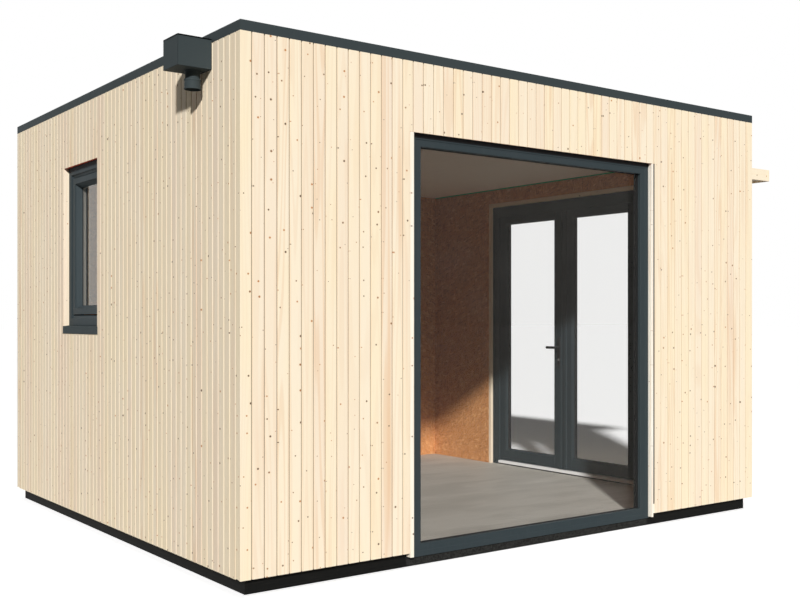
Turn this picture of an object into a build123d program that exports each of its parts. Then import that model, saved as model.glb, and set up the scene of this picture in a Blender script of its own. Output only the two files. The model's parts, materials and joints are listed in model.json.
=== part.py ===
"""Garden cabin with a flat roof, upright board cladding, full-height glazing, a side window and French doors.

Millimetres. The origin lies on the ground under the middle of the cabin. +X runs to the right along the
front, +Y towards the back and +Z up. A wall is drawn as seen from outside, on the plane of its outer face,
and depths into the wall are counted from that face.
"""

import os

from build123d import *

# Cabin
WIDTH = 3500                  # across the front, over the cladding
DEPTH = 3470                  # front to back, over the cladding
CLADDING = 50                 # boards on battens
PANEL = 124                   # structural wall panel
PLINTH_HEIGHT = 72
PLINTH_INSET = 40             # behind the cladding face
SEAT_HEIGHT = 42              # top of the plinth under the glazing and the doors
FLOOR_HEIGHT = 52
ROOM_HEIGHT = 2206            # floor to ceiling
CEILING = 12
ROOF_PANEL = 202
OVERRUN = 5                   # by which a cut runs past a face

# Roof
TRIM_HEIGHT = 48
TRIM_WIDTH = 90
ROOF_SKIN = 4
ROOF_FALL = 20                # rise of the roof covering from left to right
DRAIN_WIDTH = 100             # slot in the trim that leads to the rain hopper
DRAIN_HEIGHT = 26

# Window and glazing frames
OPENING_DROP = 131            # from the ceiling to the head of the openings in the cladding
FRAME_RECESS = 30             # from the cladding face to the frame face
FRAME_DEPTH = 70
FRAME_LAP = 25                # by which a frame reaches behind the cladding

# Glazing in the front wall
GLAZING_WIDTH = 1670
GLAZING_OFFSET = -10          # from the middle of the front
GLAZING_RAIL = 62
GLAZING_SETBACK = 27          # from the frame face to the pane
GLAZING_PANE = 28
REVEAL = 25                   # boards that line the sides of the opening
REVEAL_DROP = 22              # by which they reach below the cladding

# Window in the left wall
WINDOW_WIDTH = 600
WINDOW_BACK = 420             # from the middle of the wall towards the back
WINDOW_RAIL = 64
SASH_RAIL = 56
SASH_SETBACK = 4
WINDOW_SETBACK = 44           # from the frame face to the pane
WINDOW_PANE = 24
WINDOW_HEIGHT = 951           # from the sill to the head of the opening
SILL_HEIGHT = 49
SILL_SLOPE = 4
SILL_NOSE = 4                 # in front of the cladding
SILL_LUG = 10                 # past each side of the opening

# Door set in the right wall
DOOR_WIDTH = 1676
DOOR_DROP = 144               # from the ceiling to the head of the door frame
DOOR_FORWARD = 65             # from the middle of the wall towards the front
DOOR_RECESS = 84
DOOR_DEPTH = 70
LINING = 30
JAMB = 70
STOP = 15
STOP_THICKNESS = 10
THRESHOLD_TOP = 81
LEAF_GAP = 5
MEETING_GAP = 10
LEAF_THICKNESS = 55
HINGE_STILE = 87
MEETING_STILE = 105
TOP_RAIL = 69
BOTTOM_RAIL = 91
LEAF_PANE = 24
LEAF_PANE_SETBACK = 16
STRIP_WIDTH = 40
STRIP_THICKNESS = 12
STRIP_INSET = 2

# Door furniture
HINGE_RADIUS = 8
HINGE_PIN = 5
HINGE_PLAY = 0.08
HINGE_STANDOFF = 10           # of the hinge axis in front of the leaf
HINGE_KNUCKLE = 38
HINGE_END = 28
HINGE_GAP = 1
HINGE_TAB = 35
HINGE_TAB_THICKNESS = 4
HINGE_MARGIN = 220            # from the ends of the leaf to the outer hinges
LEVER_HEIGHT = 1000
LEVER_BACKSET = 26            # from the meeting edge of the leaf
LEVER_LENGTH = 92
LEVER_HANDLE = 20
LEVER_THICKNESS = 14
LEVER_NECK = 31
NECK_RADIUS = 9
SPINDLE = 5
SPINDLE_PLAY = 0.1
LEVER_GAP = 0.5
PLATE_WIDTH = 28
PLATE_RISE = 80
PLATE_DROP = 150
PLATE_THICKNESS = 5

# Canopy over the doors
CANOPY_REACH = 500
CANOPY_LENGTH = 2840
CANOPY_RISE = 48              # from the head of the door frame to the canopy
CANOPY_THICKNESS = 78
CANOPY_FASCIA = 22
CANOPY_SOFFIT = 8             # soffit above the lower edge of the fascia
CANOPY_TOP = 4                # deck below the upper edge of the fascia

# Rain hopper on the left wall
HOPPER_WIDTH = 167
HOPPER_REACH = 160
HOPPER_HEIGHT = 140
HOPPER_RISE = 18              # above the foot of the roof trim
HOPPER_BACK = 379             # from the front of the cabin to the middle of the hopper
HOPPER_SHEET = 3
OUTLET_REACH = 56             # axis in front of the cladding
NECK_BORE = 30
NECK_OUTSIDE = 33
NECK_LENGTH = 40
SOCKET_BORE = 35
SOCKET_OUTSIDE = 38
SOCKET_LENGTH = 46

# Planes and lines that several pieces share
WALL = CLADDING + PANEL
BEAM = WALL - PLINTH_INSET
HALF_WIDTH = WIDTH / 2
HALF_DEPTH = DEPTH / 2
ROOM_WIDTH = WIDTH - 2 * WALL
ROOM_DEPTH = DEPTH - 2 * WALL
ROOM_TOP = FLOOR_HEIGHT + ROOM_HEIGHT
PANEL_TOP = ROOM_TOP + CEILING
ROOF_TOP = PANEL_TOP + ROOF_PANEL
OPENING_HEAD = ROOM_TOP - OPENING_DROP
FRAME_BACK = FRAME_RECESS + FRAME_DEPTH
DOOR_BACK = DOOR_RECESS + DOOR_DEPTH

GLAZING_LEFT = GLAZING_OFFSET - GLAZING_WIDTH / 2
GLAZING_RIGHT = GLAZING_OFFSET + GLAZING_WIDTH / 2
GLAZING_HOLE = (GLAZING_LEFT - FRAME_LAP, GLAZING_RIGHT + FRAME_LAP)
WINDOW_LEFT = -WINDOW_BACK - WINDOW_WIDTH / 2
WINDOW_RIGHT = -WINDOW_BACK + WINDOW_WIDTH / 2
SILL_TOP = OPENING_HEAD - WINDOW_HEIGHT
SILL_BOTTOM = SILL_TOP - SILL_HEIGHT
DOOR_CENTRE = -DOOR_FORWARD
DOOR_LEFT = DOOR_CENTRE - DOOR_WIDTH / 2
DOOR_RIGHT = DOOR_CENTRE + DOOR_WIDTH / 2
DOOR_HOLE = (DOOR_LEFT - LINING, DOOR_RIGHT + LINING)
DOOR_HEAD = ROOM_TOP - DOOR_DROP
CANOPY_BOTTOM = DOOR_HEAD + CANOPY_RISE
LEAF_BOTTOM = THRESHOLD_TOP + LEAF_GAP
LEAF_TOP = DOOR_HEAD - JAMB - LEAF_GAP
HINGE_X = HALF_WIDTH - DOOR_RECESS + HINGE_STANDOFF
HINGE_REACH = DOOR_WIDTH / 2 - JAMB - LEAF_GAP / 2
HINGE_HEIGHTS = (LEAF_BOTTOM + HINGE_MARGIN, (LEAF_BOTTOM + LEAF_TOP) / 2, LEAF_TOP - HINGE_MARGIN)
HOPPER_TOP = ROOF_TOP + HOPPER_RISE
HOPPER_BOTTOM = HOPPER_TOP - HOPPER_HEIGHT
HOPPER_FORWARD = HALF_DEPTH - HOPPER_BACK
OUTLET_X = -HALF_WIDTH - OUTLET_REACH
OUTLET_Y = -HOPPER_FORWARD

FRONT_FACE = Plane(origin=(0, -HALF_DEPTH, 0), x_dir=(1, 0, 0), z_dir=(0, -1, 0))
BACK_FACE = Plane(origin=(0, HALF_DEPTH, 0), x_dir=(-1, 0, 0), z_dir=(0, 1, 0))
LEFT_FACE = Plane(origin=(-HALF_WIDTH, 0, 0), x_dir=(0, -1, 0), z_dir=(-1, 0, 0))
RIGHT_FACE = Plane(origin=(HALF_WIDTH, 0, 0), x_dir=(0, 1, 0), z_dir=(1, 0, 0))


def area(left, right, bottom, top, mode=Mode.ADD):
    """Draw a rectangle between two edges across and two edges up the current sketch."""
    with Locations(((left + right) / 2, (bottom + top) / 2)):
        Rectangle(right - left, top - bottom, mode=mode)


def save(piece, name):
    """Name a finished piece and write it."""
    piece.part.label = name
    export_step(piece.part, f"parts/{name}.step")


def sheet(name, face, depth, thickness, outline, holes=()):
    """Make a flat piece that lies parallel to a wall face, from the given depth inwards."""
    with BuildPart() as piece:
        with BuildSketch(face.offset(-depth)):
            area(*outline)
            for hole in holes:
                area(*hole, mode=Mode.SUBTRACT)
        extrude(amount=-thickness)
    save(piece, name)


def frame(name, face, left, right, bottom, top, rail, foot):
    """Make a frame whose front part fits the cladding opening and whose rear part reaches behind it."""
    hole = (left + rail, right - rail, bottom + rail, top - rail)
    with BuildPart() as piece:
        with BuildSketch(face.offset(-FRAME_RECESS)):
            area(left, right, bottom, top)
            area(*hole, mode=Mode.SUBTRACT)
        extrude(amount=FRAME_RECESS - CLADDING)
        with BuildSketch(face.offset(-CLADDING)):
            area(left - FRAME_LAP, right + FRAME_LAP, bottom - foot, top + FRAME_LAP)
            area(*hole, mode=Mode.SUBTRACT)
        extrude(amount=CLADDING - FRAME_BACK)
    save(piece, name)
    return hole


os.makedirs("parts", exist_ok=True)

# Plinth beams, lowered under the glazing and the doors
plinth_half_width = HALF_WIDTH - PLINTH_INSET
plinth_long = (-plinth_half_width, plinth_half_width, 0, PLINTH_HEIGHT)
plinth_short = (-ROOM_DEPTH / 2, ROOM_DEPTH / 2, 0, PLINTH_HEIGHT)
glazing_seat = (*GLAZING_HOLE, SEAT_HEIGHT, PLINTH_HEIGHT + OVERRUN)
door_seat = (*DOOR_HOLE, SEAT_HEIGHT, PLINTH_HEIGHT + OVERRUN)
sheet("plinth_front", FRONT_FACE, PLINTH_INSET, BEAM, plinth_long, [glazing_seat])
sheet("plinth_back", BACK_FACE, PLINTH_INSET, BEAM, plinth_long)
sheet("plinth_left", LEFT_FACE, PLINTH_INSET, BEAM, plinth_short)
sheet("plinth_right", RIGHT_FACE, PLINTH_INSET, BEAM, plinth_short, [door_seat])

# Floor, with its covering carried over the plinth to the glazing and the threshold
with BuildPart() as floor:
    with BuildSketch():
        Rectangle(ROOM_WIDTH, ROOM_DEPTH)
    extrude(amount=FLOOR_HEIGHT)
    with BuildSketch(Plane.XY.offset(SEAT_HEIGHT)):
        area(*GLAZING_HOLE, FRAME_BACK - HALF_DEPTH, WALL - HALF_DEPTH)
        area(HALF_WIDTH - WALL, HALF_WIDTH - DOOR_BACK, DOOR_LEFT, DOOR_RIGHT)
    extrude(amount=FLOOR_HEIGHT - SEAT_HEIGHT)
save(floor, "floor")

# Wall panels
panel_edge = HALF_WIDTH - CLADDING
side_edge = ROOM_DEPTH / 2
window_hole = (WINDOW_LEFT - FRAME_LAP, WINDOW_RIGHT + FRAME_LAP, SILL_TOP - FRAME_LAP, OPENING_HEAD + FRAME_LAP)
front_panels = {
    "front_wall_left": (-panel_edge, GLAZING_HOLE[0], PLINTH_HEIGHT, PANEL_TOP),
    "front_wall_right": (GLAZING_HOLE[1], panel_edge, PLINTH_HEIGHT, PANEL_TOP),
    "front_wall_header": (*GLAZING_HOLE, OPENING_HEAD + FRAME_LAP, PANEL_TOP),
}
right_panels = {
    "right_wall_front": (-side_edge, DOOR_HOLE[0], PLINTH_HEIGHT, PANEL_TOP),
    "right_wall_rear": (DOOR_HOLE[1], side_edge, PLINTH_HEIGHT, PANEL_TOP),
    "right_wall_header": (*DOOR_HOLE, DOOR_HEAD + LINING, PANEL_TOP),
}
for name, outline in front_panels.items():
    sheet(name, FRONT_FACE, CLADDING, PANEL, outline)
for name, outline in right_panels.items():
    sheet(name, RIGHT_FACE, CLADDING, PANEL, outline)
sheet("back_wall", BACK_FACE, CLADDING, PANEL, (-panel_edge, panel_edge, PLINTH_HEIGHT, PANEL_TOP))
sheet("left_wall", LEFT_FACE, CLADDING, PANEL, (-side_edge, side_edge, PLINTH_HEIGHT, PANEL_TOP), [window_hole])

# Cladding
board_edge = HALF_DEPTH - CLADDING
front_cladding = {
    "front_cladding_left": (-HALF_WIDTH, GLAZING_LEFT - REVEAL, PLINTH_HEIGHT, ROOF_TOP),
    "front_cladding_right": (GLAZING_RIGHT + REVEAL, HALF_WIDTH, PLINTH_HEIGHT, ROOF_TOP),
    "front_cladding_header": (GLAZING_LEFT - REVEAL, GLAZING_RIGHT + REVEAL, OPENING_HEAD, ROOF_TOP),
}
right_cladding = {
    "right_cladding_front": (-board_edge, DOOR_LEFT, PLINTH_HEIGHT, ROOF_TOP),
    "right_cladding_rear": (DOOR_RIGHT, board_edge, PLINTH_HEIGHT, ROOF_TOP),
    "right_cladding_header": (DOOR_LEFT, DOOR_RIGHT, DOOR_HEAD, ROOF_TOP),
}
window_opening = (WINDOW_LEFT, WINDOW_RIGHT, SILL_BOTTOM, OPENING_HEAD)
for name, outline in front_cladding.items():
    sheet(name, FRONT_FACE, 0, CLADDING, outline)
for name, outline in right_cladding.items():
    sheet(name, RIGHT_FACE, 0, CLADDING, outline)
sheet("back_cladding", BACK_FACE, 0, CLADDING, (-HALF_WIDTH, HALF_WIDTH, PLINTH_HEIGHT, ROOF_TOP))
sheet("left_cladding", LEFT_FACE, 0, CLADDING, (-board_edge, board_edge, PLINTH_HEIGHT, ROOF_TOP), [window_opening])

# Boards that line the sides of the glazing opening and reach below the cladding in front of the plinth
reveals = {
    "glazing_reveal_left": (GLAZING_LEFT - REVEAL, GLAZING_LEFT),
    "glazing_reveal_right": (GLAZING_RIGHT, GLAZING_RIGHT + REVEAL),
}
for name, edges in reveals.items():
    with BuildPart() as reveal:
        with BuildSketch(FRONT_FACE):
            area(*edges, PLINTH_HEIGHT - REVEAL_DROP, OPENING_HEAD)
        extrude(amount=-PLINTH_INSET)
        with BuildSketch(FRONT_FACE.offset(-PLINTH_INSET)):
            area(*edges, PLINTH_HEIGHT, OPENING_HEAD)
        extrude(amount=PLINTH_INSET - CLADDING)
    save(reveal, name)

# Ceiling and roof panel
with BuildPart() as ceiling:
    with BuildSketch(Plane.XY.offset(ROOM_TOP)):
        Rectangle(ROOM_WIDTH, ROOM_DEPTH)
    extrude(amount=CEILING)
save(ceiling, "ceiling")

with BuildPart() as roof_panel:
    with BuildSketch(Plane.XY.offset(PANEL_TOP)):
        Rectangle(WIDTH - 2 * CLADDING, DEPTH - 2 * CLADDING)
    extrude(amount=ROOF_TOP - PANEL_TOP)
save(roof_panel, "roof_panel")

# Roof covering, falling to the left
cover_edge = HALF_WIDTH - TRIM_WIDTH
cover_low = ROOF_TOP + ROOF_SKIN
with BuildPart() as roof_covering:
    with BuildSketch(Plane.XZ):
        with BuildLine():
            Polyline(
                (-cover_edge, ROOF_TOP),
                (cover_edge, ROOF_TOP),
                (cover_edge, cover_low + ROOF_FALL),
                (-cover_edge, cover_low),
                close=True,
            )
        make_face()
    extrude(amount=HALF_DEPTH - TRIM_WIDTH, both=True)
save(roof_covering, "roof_covering")

# Roof trim, mitred at the corners, with the drain slot on the left
trim_sides = {
    "roof_trim_front": ((-1, -1), (1, -1)),
    "roof_trim_right": ((1, -1), (1, 1)),
    "roof_trim_back": ((1, 1), (-1, 1)),
    "roof_trim_left": ((-1, 1), (-1, -1)),
}
for name, (first, second) in trim_sides.items():
    outside = [(x * HALF_WIDTH, y * HALF_DEPTH) for x, y in (first, second)]
    inside = [(x * (HALF_WIDTH - TRIM_WIDTH), y * (HALF_DEPTH - TRIM_WIDTH)) for x, y in (second, first)]
    with BuildPart() as trim:
        with BuildSketch(Plane.XY.offset(ROOF_TOP)):
            with BuildLine():
                Polyline(*outside, *inside, close=True)
            make_face()
        extrude(amount=TRIM_HEIGHT)
        if name == "roof_trim_left":
            with BuildSketch(LEFT_FACE.offset(OVERRUN)):
                area(
                    HOPPER_FORWARD - DRAIN_WIDTH / 2,
                    HOPPER_FORWARD + DRAIN_WIDTH / 2,
                    cover_low,
                    cover_low + DRAIN_HEIGHT,
                )
            extrude(amount=-TRIM_WIDTH - 2 * OVERRUN, mode=Mode.SUBTRACT)
    save(trim, name)

# Rain hopper, open at the top, its back cut down below the drain slot
hopper_left = HOPPER_FORWARD - HOPPER_WIDTH / 2
hopper_right = HOPPER_FORWARD + HOPPER_WIDTH / 2
with BuildPart() as rain_hopper:
    with BuildSketch(LEFT_FACE):
        area(hopper_left, hopper_right, HOPPER_BOTTOM, HOPPER_TOP)
    extrude(amount=HOPPER_REACH)
    with BuildSketch(LEFT_FACE.offset(HOPPER_SHEET)):
        area(
            hopper_left + HOPPER_SHEET,
            hopper_right - HOPPER_SHEET,
            HOPPER_BOTTOM + HOPPER_SHEET,
            HOPPER_TOP + OVERRUN,
        )
    extrude(amount=HOPPER_REACH - 2 * HOPPER_SHEET, mode=Mode.SUBTRACT)
    with BuildSketch(LEFT_FACE):
        area(hopper_left + HOPPER_SHEET, hopper_right - HOPPER_SHEET, ROOF_TOP, HOPPER_TOP + OVERRUN)
    extrude(amount=HOPPER_SHEET + OVERRUN, mode=Mode.SUBTRACT)
    with BuildSketch(Plane.XY.offset(HOPPER_BOTTOM - OVERRUN)):
        with Locations((OUTLET_X, OUTLET_Y)):
            Circle(NECK_BORE)
    extrude(amount=HOPPER_SHEET + 2 * OVERRUN, mode=Mode.SUBTRACT)
save(rain_hopper, "rain_hopper")

# Outlet under the hopper, with a socket for a downpipe
neck_end = HOPPER_BOTTOM - NECK_LENGTH
socket_end = neck_end - SOCKET_LENGTH
socket_seat = neck_end - (SOCKET_OUTSIDE - SOCKET_BORE)
outlet_plane = Plane(origin=(OUTLET_X, OUTLET_Y, 0), x_dir=(1, 0, 0), z_dir=(0, -1, 0))
with BuildPart() as rain_outlet:
    with BuildSketch(outlet_plane):
        with BuildLine():
            Polyline(
                (NECK_BORE, HOPPER_BOTTOM),
                (NECK_OUTSIDE, HOPPER_BOTTOM),
                (NECK_OUTSIDE, neck_end),
                (SOCKET_OUTSIDE, neck_end),
                (SOCKET_OUTSIDE, socket_end),
                (SOCKET_BORE, socket_end),
                (SOCKET_BORE, socket_seat),
                (NECK_BORE, socket_seat),
                close=True,
            )
        make_face()
    revolve(axis=Axis((OUTLET_X, OUTLET_Y, 0), (0, 0, 1)))
save(rain_outlet, "rain_outlet")

# Front glazing
glazing_pane = frame(
    "glazing_frame",
    FRONT_FACE,
    GLAZING_LEFT,
    GLAZING_RIGHT,
    SEAT_HEIGHT,
    OPENING_HEAD,
    GLAZING_RAIL,
    0,
)
sheet("glazing_glass", FRONT_FACE, FRAME_RECESS + GLAZING_SETBACK, GLAZING_PANE, glazing_pane)

# Side window
sash_hole = frame(
    "window_frame",
    LEFT_FACE,
    WINDOW_LEFT,
    WINDOW_RIGHT,
    SILL_TOP,
    OPENING_HEAD,
    WINDOW_RAIL,
    FRAME_LAP,
)
sash_left, sash_right, sash_bottom, sash_top = sash_hole
window_pane = (sash_left + SASH_RAIL, sash_right - SASH_RAIL, sash_bottom + SASH_RAIL, sash_top - SASH_RAIL)
sheet("window_sash", LEFT_FACE, FRAME_RECESS + SASH_SETBACK, FRAME_DEPTH - SASH_SETBACK, sash_hole, [window_pane])
sheet("window_glass", LEFT_FACE, FRAME_RECESS + WINDOW_SETBACK, WINDOW_PANE, window_pane)

sill_plane = Plane(origin=(-HALF_WIDTH, WINDOW_BACK, 0), x_dir=(-1, 0, 0), z_dir=(0, 1, 0))
with BuildPart() as window_sill:
    with BuildSketch(sill_plane):
        with BuildLine():
            Polyline(
                (-CLADDING, SILL_BOTTOM),
                (0, SILL_BOTTOM),
                (0, SILL_TOP - SILL_SLOPE),
                (-FRAME_RECESS, SILL_TOP),
                (-CLADDING, SILL_TOP),
                close=True,
            )
        make_face()
    extrude(amount=WINDOW_WIDTH / 2, both=True)
    with BuildSketch(sill_plane):
        area(0, SILL_NOSE, SILL_BOTTOM, SILL_TOP - SILL_SLOPE)
    extrude(amount=WINDOW_WIDTH / 2 + SILL_LUG, both=True)
save(window_sill, "window_sill")

# Door lining, frame and threshold
lining_outline = (*DOOR_HOLE, SEAT_HEIGHT, DOOR_HEAD + LINING)
sheet("door_lining", RIGHT_FACE, CLADDING, PANEL, lining_outline, [(DOOR_LEFT, DOOR_RIGHT, 0, DOOR_HEAD)])

clear_left = DOOR_LEFT + JAMB
clear_right = DOOR_RIGHT - JAMB
clear_top = DOOR_HEAD - JAMB
with BuildPart() as door_frame:
    with BuildSketch(RIGHT_FACE.offset(-DOOR_RECESS)):
        area(DOOR_LEFT, DOOR_RIGHT, SEAT_HEIGHT, DOOR_HEAD)
        area(clear_left, clear_right, 0, clear_top, mode=Mode.SUBTRACT)
    extrude(amount=-DOOR_DEPTH)
    with BuildSketch(RIGHT_FACE.offset(-DOOR_BACK)):
        area(clear_left, clear_right, THRESHOLD_TOP, clear_top)
        area(clear_left + STOP, clear_right - STOP, 0, clear_top - STOP, mode=Mode.SUBTRACT)
    extrude(amount=STOP_THICKNESS)
save(door_frame, "door_frame")

threshold_outline = (clear_left, clear_right, SEAT_HEIGHT, THRESHOLD_TOP)
sheet("door_threshold", RIGHT_FACE, DOOR_RECESS, DOOR_DEPTH, threshold_outline)

# Hinge ends and pins on the door frame; the side is -1 for the front leaf and 1 for the rear leaf
knuckle_half = HINGE_KNUCKLE / 2
tab_edges = (HINGE_X - HINGE_STANDOFF, HINGE_X - HINGE_STANDOFF + HINGE_TAB_THICKNESS)
with BuildPart() as door_hinges:
    for side in (-1, 1):
        hinge_y = DOOR_CENTRE + side * HINGE_REACH
        tab_y = (hinge_y, hinge_y + side * HINGE_TAB)
        for height in HINGE_HEIGHTS:
            pin_bottom = height - knuckle_half - HINGE_GAP - HINGE_END
            with BuildSketch(Plane.XY.offset(pin_bottom)):
                with Locations((HINGE_X, hinge_y)):
                    Circle(HINGE_PIN)
            extrude(amount=HINGE_KNUCKLE + 2 * (HINGE_GAP + HINGE_END))
            for bottom in (pin_bottom, height + knuckle_half + HINGE_GAP):
                with BuildSketch(Plane.XY.offset(bottom)):
                    with Locations((HINGE_X, hinge_y)):
                        Circle(HINGE_RADIUS)
                    area(*tab_edges, min(tab_y), max(tab_y))
                extrude(amount=HINGE_END)
save(door_hinges, "door_hinges")

# Door leaves, their panes and meeting strips; the rear leaf carries the lock plates and the spindle bore
strip_face = DOOR_RECESS + LEAF_THICKNESS + STRIP_THICKNESS
lever_y = DOOR_CENTRE + MEETING_GAP / 2 + LEVER_BACKSET
plate = (
    lever_y - PLATE_WIDTH / 2,
    lever_y + PLATE_WIDTH / 2,
    LEVER_HEIGHT - PLATE_DROP,
    LEVER_HEIGHT + PLATE_RISE,
)
for leaf_name, side in (("front", -1), ("rear", 1)):
    hinge_edge = DOOR_CENTRE + side * (DOOR_WIDTH / 2 - JAMB - LEAF_GAP)
    meeting_edge = DOOR_CENTRE + side * MEETING_GAP / 2
    pane_edges = (hinge_edge - side * HINGE_STILE, meeting_edge + side * MEETING_STILE)
    pane = (min(pane_edges), max(pane_edges), LEAF_BOTTOM + BOTTOM_RAIL, LEAF_TOP - TOP_RAIL)
    strip_edges = (meeting_edge + side * STRIP_INSET, meeting_edge + side * (STRIP_INSET + STRIP_WIDTH))
    hinge_y = DOOR_CENTRE + side * HINGE_REACH
    tab_y = (hinge_y, hinge_y - side * HINGE_TAB)
    with BuildPart() as leaf:
        with BuildSketch(RIGHT_FACE.offset(-DOOR_RECESS)):
            area(min(hinge_edge, meeting_edge), max(hinge_edge, meeting_edge), LEAF_BOTTOM, LEAF_TOP)
            area(*pane, mode=Mode.SUBTRACT)
        extrude(amount=-LEAF_THICKNESS)
        for height in HINGE_HEIGHTS:
            with BuildSketch(Plane.XY.offset(height - knuckle_half)):
                with Locations((HINGE_X, hinge_y)):
                    Circle(HINGE_RADIUS)
                area(*tab_edges, min(tab_y), max(tab_y))
                with Locations((HINGE_X, hinge_y)):
                    Circle(HINGE_PIN + HINGE_PLAY, mode=Mode.SUBTRACT)
            extrude(amount=HINGE_KNUCKLE)
        with BuildSketch(RIGHT_FACE.offset(STRIP_THICKNESS - strip_face)):
            area(min(strip_edges), max(strip_edges), LEAF_BOTTOM, clear_top - STOP - LEAF_GAP)
        extrude(amount=-STRIP_THICKNESS)
        if side > 0:
            with BuildSketch(RIGHT_FACE.offset(-strip_face)):
                area(*plate)
            extrude(amount=-PLATE_THICKNESS)
            with BuildSketch(RIGHT_FACE.offset(-DOOR_RECESS)):
                area(*plate)
            extrude(amount=PLATE_THICKNESS)
            with BuildSketch(RIGHT_FACE):
                with Locations((lever_y, LEVER_HEIGHT)):
                    Circle(SPINDLE + SPINDLE_PLAY)
            extrude(amount=-WALL, mode=Mode.SUBTRACT)
    save(leaf, f"door_leaf_{leaf_name}")
    sheet(f"door_glass_{leaf_name}", RIGHT_FACE, DOOR_RECESS + LEAF_PANE_SETBACK, LEAF_PANE, pane)

# Lever handle: one spindle with a lever on each side of the rear leaf
outer_start = DOOR_RECESS - PLATE_THICKNESS - LEVER_GAP
inner_start = strip_face + PLATE_THICKNESS + LEVER_GAP
with BuildPart() as door_lever:
    with BuildSketch(RIGHT_FACE.offset(-outer_start)):
        with Locations((lever_y, LEVER_HEIGHT)):
            Circle(SPINDLE)
    extrude(amount=outer_start - inner_start)
    for start, way in ((outer_start, 1), (inner_start, -1)):
        with BuildSketch(RIGHT_FACE.offset(-start)):
            with Locations((lever_y, LEVER_HEIGHT)):
                Circle(NECK_RADIUS)
        extrude(amount=way * LEVER_NECK)
        with BuildSketch(RIGHT_FACE.offset(way * LEVER_NECK - start)):
            with Locations((lever_y + LEVER_LENGTH / 2, LEVER_HEIGHT)):
                SlotOverall(LEVER_LENGTH + LEVER_HANDLE, LEVER_HANDLE)
        extrude(amount=way * LEVER_THICKNESS)
save(door_lever, "door_lever")

# Canopy: a deck inside a fascia on three sides
canopy_left = DOOR_CENTRE - CANOPY_LENGTH / 2
canopy_right = DOOR_CENTRE + CANOPY_LENGTH / 2
canopy_out = HALF_WIDTH + CANOPY_REACH
deck = (HALF_WIDTH, canopy_out - CANOPY_FASCIA, canopy_left + CANOPY_FASCIA, canopy_right - CANOPY_FASCIA)
with BuildPart() as canopy_fascia:
    with BuildSketch(Plane.XY.offset(CANOPY_BOTTOM)):
        area(HALF_WIDTH, canopy_out, canopy_left, canopy_right)
        area(*deck, mode=Mode.SUBTRACT)
    extrude(amount=CANOPY_THICKNESS)
save(canopy_fascia, "canopy_fascia")

with BuildPart() as canopy_deck:
    with BuildSketch(Plane.XY.offset(CANOPY_BOTTOM + CANOPY_SOFFIT)):
        area(*deck)
    extrude(amount=CANOPY_THICKNESS - CANOPY_SOFFIT - CANOPY_TOP)
save(canopy_deck, "canopy_deck")
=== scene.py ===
"""Looks of the garden cabin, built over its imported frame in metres.

Boards, frames, glass, doors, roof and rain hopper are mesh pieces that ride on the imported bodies. The plinth,
floor, wall panels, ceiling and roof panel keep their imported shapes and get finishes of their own.
"""

import json
import logging
import math
import random
from dataclasses import dataclass
from enum import Enum
from typing import Any, Callable, Iterator, Mapping, Sequence, Union

import bmesh
import bpy
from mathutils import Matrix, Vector


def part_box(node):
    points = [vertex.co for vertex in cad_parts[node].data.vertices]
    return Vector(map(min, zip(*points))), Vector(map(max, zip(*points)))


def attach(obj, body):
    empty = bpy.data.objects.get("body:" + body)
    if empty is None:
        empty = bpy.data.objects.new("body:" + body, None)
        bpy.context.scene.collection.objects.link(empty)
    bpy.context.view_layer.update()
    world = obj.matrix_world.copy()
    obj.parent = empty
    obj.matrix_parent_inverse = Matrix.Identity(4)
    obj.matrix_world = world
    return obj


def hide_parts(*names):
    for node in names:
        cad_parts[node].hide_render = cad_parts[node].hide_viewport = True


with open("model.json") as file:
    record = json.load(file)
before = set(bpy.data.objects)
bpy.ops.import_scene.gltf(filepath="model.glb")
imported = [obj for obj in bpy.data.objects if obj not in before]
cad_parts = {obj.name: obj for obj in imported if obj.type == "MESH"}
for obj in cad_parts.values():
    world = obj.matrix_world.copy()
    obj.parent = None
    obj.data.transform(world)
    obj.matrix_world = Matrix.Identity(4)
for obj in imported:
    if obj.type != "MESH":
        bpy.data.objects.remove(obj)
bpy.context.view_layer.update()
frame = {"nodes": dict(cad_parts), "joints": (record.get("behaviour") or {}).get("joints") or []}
LOG = logging.getLogger("garden_cabin")

Colour = tuple[float, float, float, float]
Pair = tuple[float, float]
Operand = Union["Value", float]
Place = Callable[[float, float, float], Vector]

# Sizes in metres that several pieces share: the easing of small and larger edges, the play between
# neighbours, the least play, how near counts as touching, and the gasket that the glass sits on.
EASE = 0.0015
ROUND = 0.002
HAIR = 0.0005
SLIVER = 0.0002
NEAR = 0.001
SEAT = 0.002
# Strips that close the gap behind the boards at an opening: their width, and their rise over its head.
CLOSING = 0.018
CLOSING_RISE = 0.004
# Widths of the frame rails and how far a frame reaches behind the boards.
GLAZING_RAIL = 0.062
WINDOW_RAIL = 0.064
FRAME_LAP = 0.025
UP = Vector((0.0, 0.0, 1.0))


class Body(Enum):
    """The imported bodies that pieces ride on."""

    CABIN = "cabin"
    DOOR_FRONT = "door_front"
    DOOR_REAR = "door_rear"
    LEVER = "lever"


class Slot(Enum):
    """The record's material slots that the pieces here name."""

    CLADDING = "cladding_timber"
    WALL_BOARD = "wall_board"
    CEILING = "ceiling_board"
    RUBBER = "roof_rubber"
    SHEET = "anthracite_sheet"
    FRAME = "anthracite_frame"
    GLASS = "clear_glass"
    LINING = "lining_pine"
    THRESHOLD = "threshold_aluminium"
    HINGE = "hinge_steel"
    LEVER = "lever_black"


class Grain(Enum):
    """Which way the grain of a timber piece runs."""

    UPRIGHT = (0.0, 0.0, 1.0)
    SIDEWAYS = (1.0, 0.0, 0.0)
    BACKWARDS = (0.0, 1.0, 0.0)


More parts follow.
